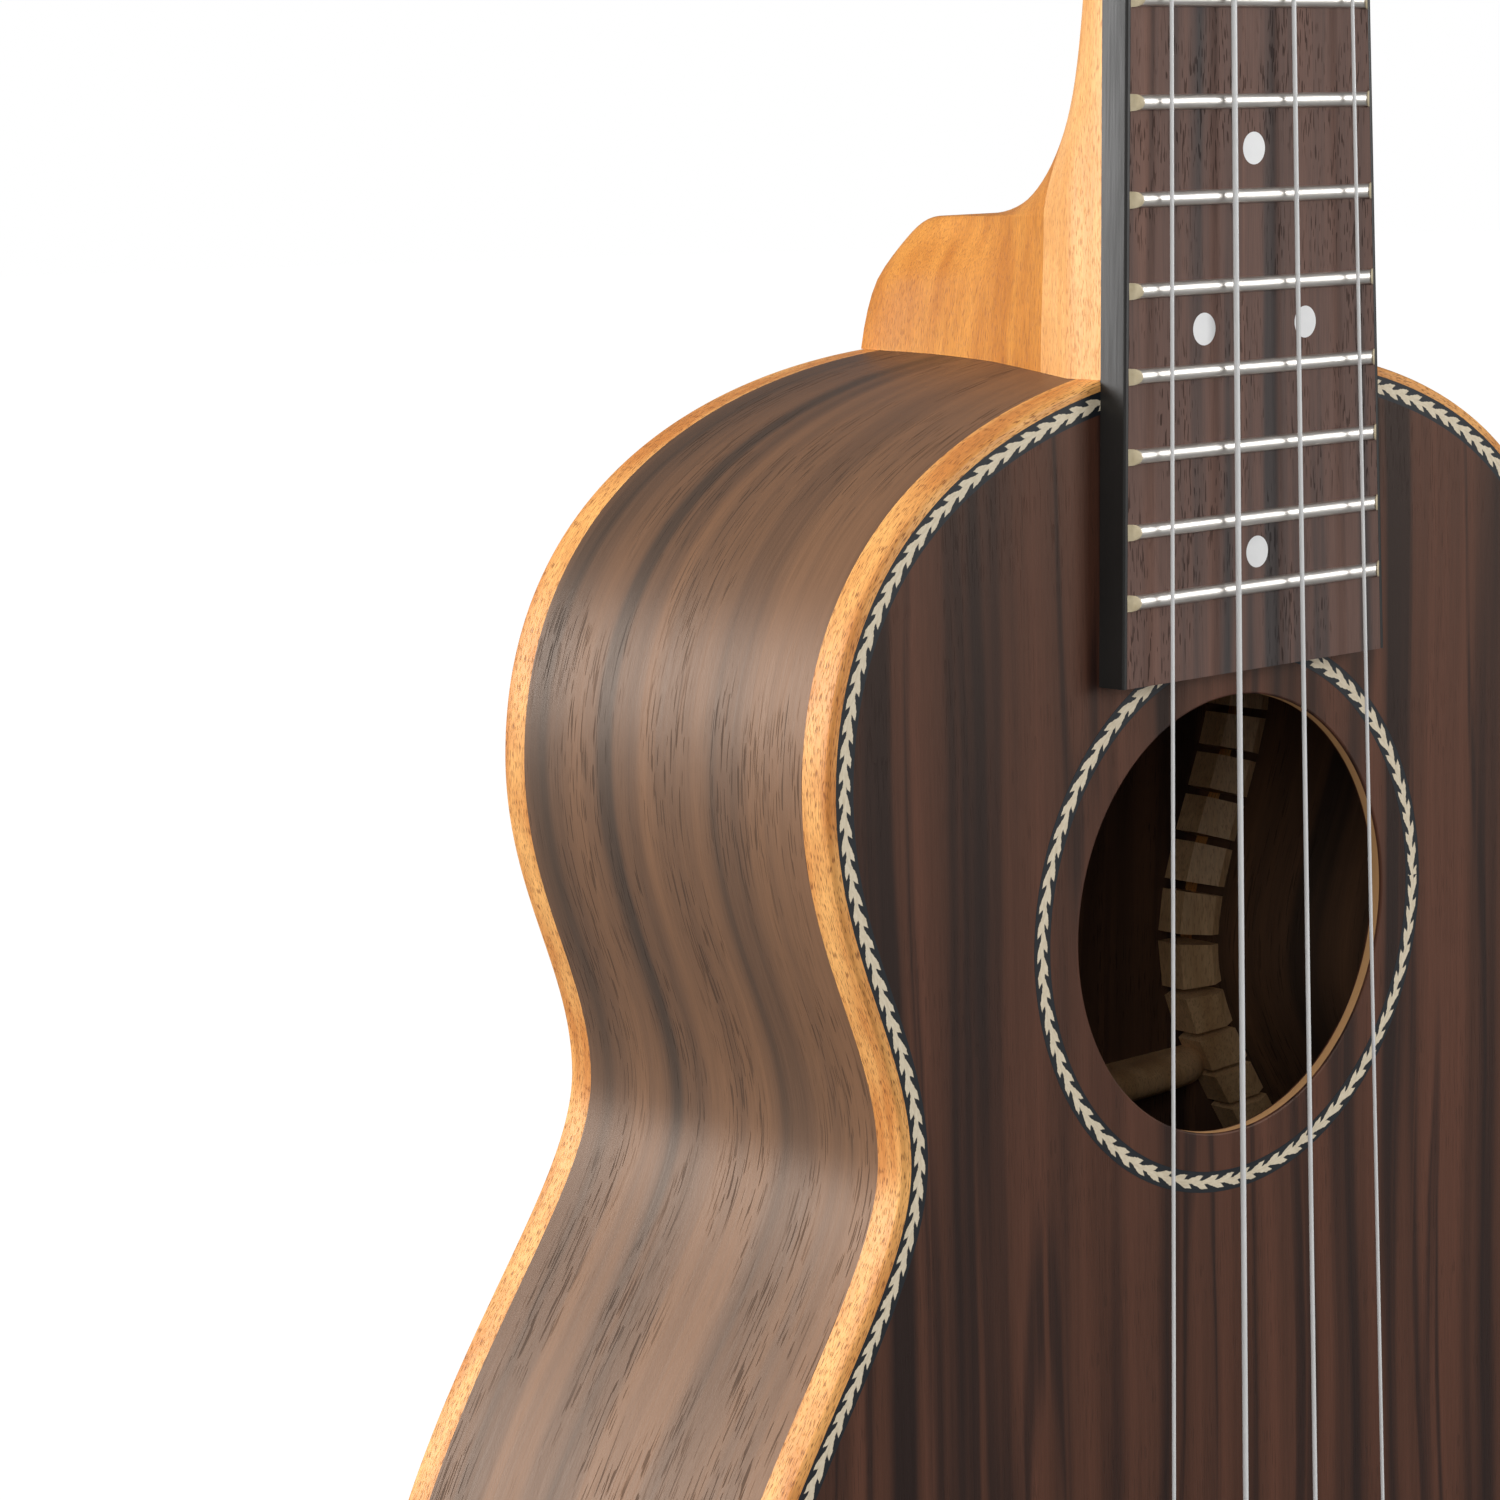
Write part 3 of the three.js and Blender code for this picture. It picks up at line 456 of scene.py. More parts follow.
def make_leaf_strip():
    """Colour of the strip from Along and Across in metres: Across is 0 at the middle. Each leaf is a barb:
    it widens from the stem towards the tail of its pitch, then is cut back, and the two sides are a third
    of a pitch out of step. Black veneer fills the rest."""
    tree, given, out = new_group(
        "leaf_strip", [("Along", "number"), ("Across", "number")],
        [("Color", "colour"), ("Roughness", "number"), ("Height", "number")],
    )
    along = calc(tree, "MULTIPLY", given["Along"], 1000)
    across = calc(tree, "MULTIPLY", given["Across"], 1000)
    spot = node(tree, "CombineXYZ", {0: along, 1: across}).outputs[0]
    ragged = node(tree, "TexNoise", {"Vector": spot, "Scale": 1.7, "Detail": 2.0}).outputs["Fac"]
    ragged = calc(tree, "SUBTRACT", ragged, 0.5)
    away = calc(tree, "ABSOLUTE", across)
    swept = calc(tree, "MULTIPLY_ADD", away, -LEAF_SLANT, along)
    side = calc(tree, "GREATER_THAN", across, 0.0)
    swept = calc(tree, "MULTIPLY_ADD", side, -LEAF_STAGGER * LEAF_PITCH, swept)
    swept = calc(tree, "MULTIPLY_ADD", ragged, 0.5, swept)
    phase = calc(tree, "FRACT", calc(tree, "DIVIDE", swept, LEAF_PITCH))
    widening = calc(tree, "MINIMUM", calc(tree, "DIVIDE", phase, 0.4), 1.0)
    edge = calc(tree, "MULTIPLY_ADD", widening, LEAF_REACH - STEM, STEM)
    edge = calc(tree, "MULTIPLY_ADD", ragged, 0.3, edge)
    leaf = calc(tree, "MULTIPLY", rise(tree, calc(tree, "SUBTRACT", edge, away), -0.04, 0.04),
                rise(tree, phase, 0.80, 0.75))
    stem = rise(tree, calc(tree, "MULTIPLY_ADD", ragged, 0.25, away), STEM + 0.04, STEM - 0.05)
    cream = calc(tree, "MAXIMUM", leaf, stem)
    figure = node(tree, "TexNoise", {
        "Vector": node(tree, "CombineXYZ", {0: along, 1: calc(tree, "MULTIPLY", across, 3)}).outputs[0],
        "Scale": 0.9, "Detail": 3.0,
    }).outputs["Fac"]
    pale = blend_colour(tree, figure, (0.56, 0.45, 0.29, 1), (0.88, 0.79, 0.62, 1))
    colour = blend_colour(tree, cream, (0.010, 0.013, 0.017, 1), pale)
    tree.links.new(colour, out["Color"])
    tree.links.new(calc(tree, "MULTIPLY_ADD", figure, 0.15, 0.42), out["Roughness"])
    tree.links.new(calc(tree, "MULTIPLY", cream, 0.3), out["Height"])
    return tree


leaf_strip = make_leaf_strip()


def strip_distances(tree):
    """How far along a swept strip a point lies, and how far round its section, in metres: its UV map."""
    return node(tree, "SeparateXYZ", {0: node(tree, "UVMap", uv_map="UVMap").outputs[0]}).outputs[:2]


def inlay_material(name, loop_length):
    """The strip's finish. With a loop length, its leaves run down both sides from the loop's first point."""
    material, tree, shader, _ = new_material(name, specular=0.3)
    along, around = strip_distances(tree)
    if loop_length:
        along = calc(tree, "MINIMUM", along, calc(tree, "SUBTRACT", loop_length * MM, along))
    use_group(tree, shader, leaf_strip, {
        "Along": along, "Across": calc(tree, "SUBTRACT", around, PURFLING_WIDTH / 2 * MM),
    }, 0.00005)
    return material


def hoop(name, section, along_back=False):
    """Sweeps a closed section right round the body. Section is an array of (inset, y) corners; along_back
    means that y is measured forward from the back's outer face, which deepens towards the tail."""
    x, z, out_x, out_z = whole_outline(OUTLINE_STEPS)
    inset, depth = np.array(section, float).T
    y = depth_at(z)[:, None] - depth if along_back else depth + 0 * z[:, None]
    points = np.stack([x[:, None] - out_x[:, None] * inset, y, z[:, None] - out_z[:, None] * inset], -1)
    return grid_piece(name, points, loop_rows=True)


x, z, out_x, out_z = whole_outline(OUTLINE_STEPS)
strip_line = np.stack([x - out_x * BINDING_WIDTH, z - out_z * BINDING_WIDTH], -1)
purfling_finish = inlay_material("purfling_finish", float(lengths(strip_line, True)[-1]))
finish_piece(hoop("leaf_purfling", [
    (BINDING_WIDTH, 0), (BINDING_WIDTH + PURFLING_WIDTH, 0),
    (BINDING_WIDTH + PURFLING_WIDTH, PLATE), (BINDING_WIDTH, PLATE),
]), purfling_finish, "top_purfling")

ROSETTE_DEPTH = 0.85
angle = np.linspace(0, 2 * math.pi, 240, endpoint=False)[:, None]
radius = np.array([ROSETTE_INNER, ROSETTE_OUTER, ROSETTE_OUTER, ROSETTE_INNER])
depth = np.array([0, 0, ROSETTE_DEPTH, ROSETTE_DEPTH]) + 0 * angle
ring = np.stack([radius * np.cos(angle), depth, HOLE_Z + radius * np.sin(angle)], -1)
finish_piece(grid_piece("rosette_ring", ring, loop_rows=True), inlay_material("rosette_finish", 0),
             "rosette")

# Bindings: square strips of amber-stained light wood, bent hot and glued into a rebate round the top and
# the back, then scraped flush and eased at the corner. Short reddish pores run along them.
DEPTH_AT_NECK = 66
DEPTH_GAIN = 9.5
DEPTH_CURVE = 2.6
BINDING_HEIGHT = 5.0
CORNER = 0.7


def depth_at(z):
    """How far the back's outer face lies behind the soundboard's, at a height up the instrument."""
    along = np.clip((BODY_TOP_Z - np.asarray(z, float)) / BODY_LENGTH, 0, 1)
    return DEPTH_AT_NECK + DEPTH_GAIN * (1 - (1 - along) ** DEPTH_CURVE)


def make_flecked_wood():
    """Light stained wood. Place is across the grain, along it and into it, in metres. Soft golden bands and
    clouds, fine streaks and short darker flecks drawn out along the grain."""
    tree, given, out = new_group(
        "flecked_wood",
        [("Place", "vector"), ("Pale", "colour"), ("Deep", "colour"), ("Fleck", "colour"),
         ("Flecks", "number"), ("Size", "number")],
        [("Color", "colour"), ("Roughness", "number"), ("Height", "number")],
    )
    parts = node(tree, "SeparateXYZ", {0: given["Place"]}).outputs
    scale = calc(tree, "DIVIDE", 1000, given["Size"])
    across = calc(tree, "MULTIPLY", parts[0], scale)
    along = calc(tree, "MULTIPLY", parts[1], scale)
    depth = calc(tree, "MULTIPLY", parts[2], scale)
    bands = stretched_noise(tree, across, along, 4.0, 70, 2.0, depth)
    patches = stretched_noise(tree, across, along, 9, 16, 2.0, depth)
    streaks = stretched_noise(tree, across, along, 0.3, 10, 3.0, depth)
    flecks = stretched_noise(tree, across, along, 0.16, 1.5, 1.0, depth)
    mix = calc(tree, "ADD", calc(tree, "MULTIPLY", bands, 0.6), calc(tree, "MULTIPLY", patches, 0.5))
    colour = blend_colour(tree, rise(tree, mix, 0.4, 0.7), given["Deep"], given["Pale"])
    shade = calc(tree, "MULTIPLY_ADD", streaks, 0.6, 0.7)
    tint = node(tree, "CombineXYZ", {0: shade, 1: shade, 2: shade}).outputs[0]
    colour = blend_colour(tree, 1.0, colour, tint, "MULTIPLY")
    mask = calc(tree, "MULTIPLY", rise(tree, flecks, 0.54, 0.68), given["Flecks"])
    colour = blend_colour(tree, mask, colour, given["Fleck"])
    tree.links.new(colour, out["Color"])
    tree.links.new(calc(tree, "MULTIPLY_ADD", streaks, 0.2, 0.32), out["Roughness"])
    height = calc(tree, "SUBTRACT", calc(tree, "MULTIPLY", streaks, 0.3), calc(tree, "MULTIPLY", mask, 0.7))
    tree.links.new(height, out["Height"])
    return tree


flecked_wood = make_flecked_wood()
binding_finish, tree, shader, _ = new_material("binding_finish", specular=0.25)
along, around = strip_distances(tree)
place = node(tree, "CombineXYZ", {0: around, 1: along, 2: 0.0}).outputs[0]
use_group(tree, shader, flecked_wood, {
    "Place": place, "Pale": (0.92, 0.47, 0.145, 1), "Deep": (0.62, 0.235, 0.055, 1),
    "Fleck": (0.20, 0.055, 0.014, 1), "Flecks": 0.75, "Size": 0.9,
}, 0.0001)

bend = np.linspace(0, math.pi / 2, 6)
eased_corner = [(CORNER * (1 - math.sin(a)), CORNER * (1 - math.cos(a))) for a in bend]
binding_section = [(BINDING_WIDTH, 0)] + eased_corner + [
    (0, BINDING_HEIGHT / 2), (0, BINDING_HEIGHT), (BINDING_WIDTH, BINDING_HEIGHT),
]
finish_piece(hoop("binding_top", binding_section), binding_finish, "top_binding")
back_binding = hoop("binding_back", binding_section, along_back=True)
finish_piece(back_binding, binding_finish, "back_binding")

# Ribs: two sides of striped rosewood laminate, bent to the outline and butted at the neck and the tail.
# Their grain runs round the body, so the stripes follow the bends, and the open pores are left unfilled.
RIB = 1.9
SIDE_STEPS = 110

rib_finish, tree, shader, _ = new_material("rib_finish", specular=0.38, sheen=WARM_SHEEN)
along, around = strip_distances(tree)
place = node(tree, "CombineXYZ", {0: around, 1: along, 2: 0.021}).outputs[0]
use_group(tree, shader, banded_wood, {
    "Place": place, "Band Width": 8.0, "Pale": (0.19, 0.096, 0.050, 1), "Middle": (0.125, 0.066, 0.038, 1),
    "Dark": (0.054, 0.035, 0.025, 1), "Lines": 0.1, "Pores": 0.5, "Pore Length": 5.0, "Gloss": 0.36,
}, 0.00014)


def make_rib(name, side):
    """One rib: a thin closed strip swept along its half of the outline, deeper towards the tail."""
    x, z, out_x, out_z = half_outline(SIDE_STEPS)
    share = np.linspace(0, 1, 9)
    front = BINDING_HEIGHT + share * (depth_at(z)[:, None] - 2 * BINDING_HEIGHT)
    depth = np.concatenate([front, front[:, ::-1]], axis=1)
    inset = np.r_[np.zeros(9), np.full(9, RIB)]
    points = np.stack([
        side * (x[:, None] - out_x[:, None] * inset), depth, z[:, None] - out_z[:, None] * inset,
    ], -1)
    return grid_piece(name, points)


finish_piece(make_rib("side_left", -1), rib_finish, "rib_left")
finish_piece(make_rib("side_right", 1), rib_finish, "rib_right")

# Back: a rosewood laminate plate like the soundboard, its face bookmatched on the centre line, bowed along
# its length only and glued to the linings inside the back binding.
back_finish, tree, shader, coords = new_material("back_finish", specular=0.4, sheen=WARM_SHEEN)
place, _ = upright_place(tree, coords, 40, mirrored=True)
use_group(tree, shader, banded_wood, {
    "Place": place, "Band Width": 9.0, "Pale": (0.17, 0.082, 0.046, 1), "Middle": (0.10, 0.052, 0.032, 1),
    "Dark": (0.035, 0.021, 0.017, 1), "Lines": 0.4, "Pores": 0.5, "Pore Length": 5.0, "Gloss": 0.38,
}, 0.00012)


def make_back():
    """A closed sheet: each row crosses the back at one height, out along its outer face and home along
    its inner one."""
    x, z, out_x, out_z = half_outline(60)
    wide = np.maximum(x - out_x * BINDING_WIDTH, 0.05)
    level = z - out_z * BINDING_WIDTH
    share = np.linspace(-1, 1, 25)
    across = np.concatenate([share, share[::-1]])
    behind = np.r_[np.zeros(25), np.full(25, PLATE)]
    points = np.stack([
        wide[:, None] * across, depth_at(level)[:, None] - behind, np.repeat(level[:, None], 50, axis=1),
    ], -1)
    return grid_piece("back", points)


finish_piece(make_back(), back_finish, "back_plate")

# Inside: pale linings sawn into small blocks so that they bend round the ribs, round-topped braces
# glued across the back and the top, and solid blocks under the neck and at the tail.
LINING_HEIGHT = 11.0
LINING_WIDTH = 5.0
LINING_BLOCK = 7.6
BLOCK_HALF_WIDTH = 27

inner_finish, tree, shader, coords = new_material("inner_finish", specular=0.2)
place, _ = upright_place(tree, coords, 70)
use_group(tree, shader, flecked_wood, {
    "Place": place, "Pale": (0.66, 0.42, 0.22, 1), "Deep": (0.48, 0.28, 0.13, 1),
    "Fleck": (0.22, 0.11, 0.05, 1), "Flecks": 0.4, "Size": 1.4,
}, 0.0001)
for name in ("neck_block", "tail_block", "bridge_plate"):
    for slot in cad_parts[name].material_slots:
        slot.material = inner_finish


def make_lining(name, side, at_back):
    """Short blocks with saw cuts between them: one five-cornered section placed at both ends of each block,
    at stations spaced evenly along the outline."""
    x, z, out_x, out_z = half_outline(SIDE_STEPS)
    keep = x > BLOCK_HALF_WIDTH + 6
    line = np.stack([x, z, out_x, out_z], -1)[keep]
    run = np.concatenate([[0], np.cumsum(np.linalg.norm(np.diff(line[:, :2], axis=0), axis=1))])
    count = int(run[-1] / LINING_BLOCK)
    starts = np.arange(count) * run[-1] / count
    ends = starts + run[-1] / count - 1.5
    at = np.stack([starts, ends], -1)
    x, z, out_x, out_z = (np.interp(at, run, line[:, k]) for k in range(4))
    inset = RIB + 0.05 + np.array([0, LINING_WIDTH, LINING_WIDTH, 1.5, 0])
    rise_up = np.array([0.05, 0.05, 5, LINING_HEIGHT - PLATE, LINING_HEIGHT - PLATE])
    depth = PLATE + rise_up + 0 * x[..., None]
    if at_back:
        depth = depth_at(z)[..., None] - PLATE - rise_up
    points = np.stack([
        side * (x[..., None] - out_x[..., None] * inset), depth, z[..., None] - out_z[..., None] * inset,
    ], -1)
    return grid_piece(name, points)


for label, side in (("left", -1), ("right", 1)):
    finish_piece(make_lining(f"kerfed_lining_top_{label}", side, False), inner_finish,
                 f"top_lining_{label}")
    finish_piece(make_lining(f"kerfed_lining_back_{label}", side, True), inner_finish,
                 f"back_lining_{label}")


def make_brace(name, z, glued_at, into):
    """A bar across the body at one height: rows across X, a round-topped section, lower towards its ends.
    glued_at is the depth of its foot, and into is 1 when it stands towards the back."""
    x_line, z_line, _, _ = half_outline(SIDE_STEPS)
    half = np.interp(-z, -z_line, x_line) - RIB - LINING_WIDTH - 0.5
    across = np.linspace(-1, 1, 33)[:, None]
    height = 3 + 5 * np.sqrt(np.clip(1 - np.abs(across) ** 6, 0, 1))
    angle = np.linspace(0, math.pi, 9)
    up = np.r_[0, 0.45 + 0.55 * np.sin(angle), 0]
    wide = np.r_[3, 3 * np.cos(angle), -3]
    points = np.stack([
        half * across + 0 * up, glued_at + into * height * up, z + wide + 0 * across,
    ], -1)
    return grid_piece(name, points)


for name, z in (("top_brace_upper", -216), ("top_brace_lower", -309)):
    finish_piece(make_brace(f"shaped_{name}", z, PLATE, 1), inner_finish, name)
for name, z in (("back_brace_upper", -232), ("back_brace_middle", -313), ("back_brace_lower", -400)):
    finish_piece(make_brace(f"shaped_{name}", z, float(depth_at(z)) - PLATE, -1), inner_finish,
                 name)

# Neck: one piece of pale, closely flecked wood, half-round behind the fingerboard, with a deeper carved
# heel stacked under its end in a darker amber piece, glued to the shaft and to the top of the ribs.
BOARD_HALF_AT_NUT = 20.5
BOARD_HALF_AT_END = 26.8
BOARD_END_Z = -231.8
SHAFT_DEPTH = 14.5
PLAIN_DEPTH = 13.3
NUT_LENGTH = 4.5
LEDGE_Z = -168.5
HEEL_TAPER = np.array([
    (0, 1), (7, 0.985), (17, 0.85), (30, 0.665), (38, 0.582), (46.5, 0.50), (55, 0.445), (62, 0.42),
    (76, 0.39),
])


def board_half(z):
    """Half the fingerboard's width at a height, on a straight taper."""
    return BOARD_HALF_AT_NUT + (BOARD_HALF_AT_END - BOARD_HALF_AT_NUT) * np.asarray(z, float) / BOARD_END_Z


def cubic(corners, steps):
    """Points of a cubic curve given by its four control corners."""
    t = np.linspace(0, 1, steps + 1)
    weights = np.stack([(1 - t) ** 3, 3 * t * (1 - t) ** 2, 3 * t**2 * (1 - t), t**3], -1)
    return weights @ np.array(corners, float)


heel_curve = np.vstack([
    cubic([(-118, PLAIN_DEPTH), (-152, PLAIN_DEPTH), (-168.4, 27), (LEDGE_Z, 45)], 30),
    cubic([(-168.8, 57), (-169.2, 63), (-175, 69), (-195, 75)], 16)[:14],
])
body_line = np.stack(half_outline(SIDE_STEPS)[:2])[:, :40]


def ease(value, low, high):
    """A smooth step from 0 at low to 1 at high."""
    share = np.clip((value - low) / (high - low), 0, 1)
    return share * share * (3 - 2 * share)


def neck_rings(stations, depths, start, stop):
    """Closed rings round the neck between two depths, pointwise the taper times a closing curve. The taper
    falls from 1 at the fingerboard to two fifths at the heel's cap, and is raised to a power that grows down
    the neck and rounds the ledge's edges. The closing curve goes from a slim half-round on the plain shaft
    to a rounded slab at the heel and under the headstock. The last ring lies on the body's outline."""
    z = np.r_[stations, BODY_TOP_Z][:, None]
    depth = np.r_[depths, depths[-1] + 1][:, None]
    reach = np.minimum(depth * 0.9985, stop)
    turn = np.linspace(0, math.pi / 2, 17)
    y = start + (reach - start) * np.sin(turn)
    taper = np.interp(y, *HEEL_TAPER.T)
    power = 1.25 * ease(-z, 120, -LEDGE_Z) - 0.25 * ease(-z, -LEDGE_Z, 192)
    power = power + 0.55 * ease(z, LEDGE_Z - 10, LEDGE_Z) * ease(y, 14, 50)
    squareness = 1.7 + 18 * np.clip((depth - SHAFT_DEPTH) / 58, 0, 1) ** 2 + 7 * ease(z, -26, 4)
    x = board_half(z) * taper**power * np.sqrt(1 - (y / depth) ** squareness)
    flat = np.linspace(1, -1, 9)[1:-1] * x[:, -1:]
    x = np.hstack([x, flat, -x[:, ::-1]])
    y = np.hstack([y, y[:, -1:] + 0 * flat, y[:, ::-1]])
    z = z + 0 * x
    z[-1] = np.interp(np.abs(x[-1]), body_line[0], body_line[1]) + 0.02
    return np.stack([x, y, z], -1)


neck_finish, tree, shader, coords = new_material("neck_finish", specular=0.25)
place, _ = upright_place(tree, coords, 20)
use_group(tree, shader, flecked_wood, {
    "Place": place, "Pale": (0.92, 0.50, 0.19, 1), "Deep": (0.80, 0.38, 0.12, 1),
    "Fleck": (0.42, 0.14, 0.035, 1), "Flecks": 0.6, "Size": 0.9,
}, 0.00008)
heel_finish, tree, shader, coords = new_material("heel_finish", specular=0.2)
place, _ = upright_place(tree, coords, 33)
use_group(tree, shader, flecked_wood, {
    "Place": place, "Pale": (0.68, 0.28, 0.052, 1), "Deep": (0.53, 0.19, 0.031, 1),
    "Fleck": (0.28, 0.08, 0.015, 1), "Flecks": 0.55, "Size": 1.1,
}, 0.00008)

shaft_z = np.r_[16, 10, NUT_LENGTH, np.linspace(0, -115, 12), heel_curve[:, 0]]
shaft_depth = np.r_[11.5, 12.1, 12.2, 12.6, 13.1, np.full(10, PLAIN_DEPTH), heel_curve[:, 1]]
shaft_points = neck_rings(shaft_z, shaft_depth, 0.0001, SHAFT_DEPTH)
shaft_points[0, :, 0] *= 0.7
shaft_points[1, :, 0] *= 0.93
shaft_points[0, :, 1] = np.maximum(shaft_points[0, :, 1], 6)
shaft_points[1, :, 1] = np.maximum(shaft_points[1, :, 1], 3)
finish_piece(grid_piece("neck_shaft", shaft_points), neck_finish, "neck")
stacked = heel_curve[:, 1] > SHAFT_DEPTH + 0.06
heel_points = neck_rings(*heel_curve[stacked].T, SHAFT_DEPTH + 0.02, DEPTH_AT_NECK)
finish_piece(grid_piece("carved_heel", heel_points), heel_finish, "heel")

# Headstock: tilted back twelve degrees, with flared ears, a soft waist and a bowed crest, faced with a
# thin rosewood veneer. Its edges are eased all round.
HEAD_TILT = math.radians(12)
HEAD_THICKNESS = 12.0


def from_head(points):
    """Turns headstock lengths (across, behind its face, up it) into the instrument's frame."""
    x, y, z = np.moveaxis(np.asarray(points, float), -1, 0)
    c, s = math.cos(HEAD_TILT), math.sin(HEAD_TILT)
    return np.stack([x, y * c + z * s, NUT_LENGTH - y * s + z * c], -1)


def head_rings(start, front, back, corner):
    """Rounded rectangles stacked up the headstock: the half width follows the outline's three curves, and
    each corner is a quarter circle of that radius, flatter where the ring is narrow."""
    flank = np.vstack([
        cubic([(20.5, start), (21.5, 12), (30, 12), (29, 28)], 16),
        cubic([(29, 28), (27.5, 60), (26.5, 80), (29.5, 108)], 16)[1:],
        cubic([(29.5, 108), (22, 110), (14, 122), (0.4, 122)], 22)[1:],
    ])
    angle = np.linspace(0, math.pi / 2, 5)
    round_x, round_y = np.cos(angle), np.sin(angle)
    radius = np.minimum(corner, flank[:, :1] * 0.4)
    out_x = flank[:, :1] - radius + radius * round_x
    back_y = back - corner + corner * round_y
    front_y = front + corner - corner * round_y
    x = np.hstack([out_x, -out_x[:, ::-1], -out_x, out_x[:, ::-1]])
    y = np.r_[back_y, back_y[::-1], front_y, front_y[::-1]]
    return from_head(np.stack([x, y + 0 * x, flank[:, 1:] + 0 * x], -1))


veneer_finish, tree, shader, coords = new_material("veneer_finish", coat=0.15)
parts = node(tree, "SeparateXYZ", {0: coords.outputs["Object"]}).outputs
place = node(tree, "CombineXYZ", {0: parts[0], 1: parts[2], 2: 0.09}).outputs[0]
use_group(tree, shader, banded_wood, {
    "Place": place, "Band Width": 7.0, "Pale": (0.11, 0.052, 0.036, 1), "Middle": (0.075, 0.034, 0.024, 1),
    "Dark": (0.022, 0.014, 0.013, 1), "Lines": 0.4, "Pores": 0.6, "Pore Length": 4.0, "Gloss": 0.3,
}, 0.0001)
finish_piece(grid_piece("headstock", head_rings(0.3, 0.0, HEAD_THICKNESS, 1.6)), neck_finish,
             "neck")
finish_piece(grid_piece("headstock_veneer", head_rings(1.6, -1.5, -0.02, 0.45)), veneer_finish,
             "head_veneer")

# Fingerboard: oiled rosewood with broad slate-coloured bands, glued to the neck and over the soundboard,
# and a thin black strip glued along each side that hides the ends of the fret slots.
BOARD_THICKNESS = 4.5
EDGE_STRIP = 0.75

board_finish, tree, shader, coords = new_material("board_finish", specular=0.25)
place, _ = upright_place(tree, coords, 55)
use_group(tree, shader, banded_wood, {
    "Place": place, "Band Width": 6.0, "Pale": (0.185, 0.096, 0.070, 1), "Middle": (0.135, 0.075, 0.058, 1),
    "Dark": (0.050, 0.040, 0.038, 1), "Lines": 0.3, "Pores": 0.6, "Pore Length": 2.2, "Gloss": 0.5,
}, 0.0001)


def strip_between(name, left, right, front, ease_left, ease_right):
    """A bar along the neck between two edge lines, each given as a function of the height, with its front
    corners rounded by those radii."""
    z = np.linspace(-0.1, BOARD_END_Z, 40)[:, None]
    angle = np.linspace(0, math.pi / 2, 5)
    left_x = left(z) + ease_left * (1 - np.cos(angle))
    right_x = right(z) - ease_right * (1 - np.sin(angle))
    x = np.hstack([left(z), left_x, right_x, right(z)])
    y = np.r_[0, front + ease_left * (1 - np.sin(angle)), front + ease_right * (1 - np.cos(angle)), 0]
    return grid_piece(name, np.stack([x, y + 0 * z, z + 0 * x], -1))


def surface_marks(tree, coords, scale, detail, stretch=None, swirl=0.0):
    """Noise over a piece in its own coordinates. Scale is how many marks fit in a metre, and a stretch
    multiplies it by a number for each axis."""
    place = coords.outputs["Object"]
    if stretch:
        place = node(tree, "Mapping", {"Vector": place, "Scale": stretch}).outputs[0]
    inputs = {"Vector": place, "Scale": scale, "Detail": detail, "Distortion": swirl}
    return node(tree, "TexNoise", inputs).outputs["Fac"]


finish_piece(strip_between(
    "fingerboard_wood", lambda z: -board_half(z) + EDGE_STRIP, lambda z: board_half(z) - EDGE_STRIP,
    -BOARD_THICKNESS, 0.05, 0.05,
), board_finish, "fingerboard")

strip_finish, tree, shader, coords = new_material("strip_finish", specular=0.3)
haze = surface_marks(tree, coords, 60.0, 4.0)
tree.links.new(blend_colour(tree, haze, (0.016, 0.015, 0.014, 1), (0.030, 0.028, 0.026, 1)),
               shader.inputs["Base Color"])
scratch = surface_marks(tree, coords, 1.0, 2.0, (3000, 3000, 40))
tree.links.new(calc(tree, "MULTIPLY_ADD", scratch, 0.25, 0.28), shader.inputs["Roughness"])
add_relief(tree, shader, scratch, 0.00003, 0.5)
finish_piece(strip_between(
    "edge_strip_left", lambda z: -board_half(z), lambda z: -board_half(z) + EDGE_STRIP - 0.01,
    -BOARD_THICKNESS, 0.35, 0.02,
), strip_finish, "board_edge_left")
finish_piece(strip_between(
    "edge_strip_right", lambda z: board_half(z) - EDGE_STRIP + 0.01, lambda z: board_half(z),
    -BOARD_THICKNESS, 0.02, 0.35,
), strip_finish, "board_edge_right")

# Frets: nickel-silver wire hammered into slots, its crown rounded and polished along the wire, and both
# ends filed to a bevel, where a drop of lacquer has dried to a cream D.
SCALE_LENGTH = 380
FRET_COUNT = 15
FRET_HEIGHT = 0.95
FRET_WIDTH = 2.0
FRET_BEVEL = 1.25
FRET_SHORT = 0.85
LACQUER = 0.3


def tone(tree, shader, marks, low, high, spread, gloss):
    """Colours a surface between two tints by its marks. Its roughness is the gloss value plus the marks
    times the spread."""
    tree.links.new(blend_colour(tree, marks, (*low, 1), (*high, 1)), shader.inputs["Base Color"])
    tree.links.new(calc(tree, "MULTIPLY_ADD", marks, spread, gloss), shader.inputs["Roughness"])


fret_finish, tree, shader, coords = new_material("fret_finish", metallic=1.0)
polish = surface_marks(tree, coords, 1.0, 3.0, (150, 4000, 4000))
tone(tree, shader, polish, (0.62, 0.58, 0.53), (0.86, 0.83, 0.79), 0.2, 0.3)
add_relief(tree, shader, polish, 0.00002, 0.4)
lacquer_finish, tree, shader, coords = new_material("lacquer_finish", coat=0.5)
clouds = surface_marks(tree, coords, 900.0, 3.0)
tone(tree, shader, clouds, (0.46, 0.36, 0.20), (0.74, 0.64, 0.44), 0.3, 0.25)


def fret_height(number):
    """Each fret divides the string's length by the twelfth root of two."""
    return -SCALE_LENGTH * (1 - 2 ** (-number / 12))


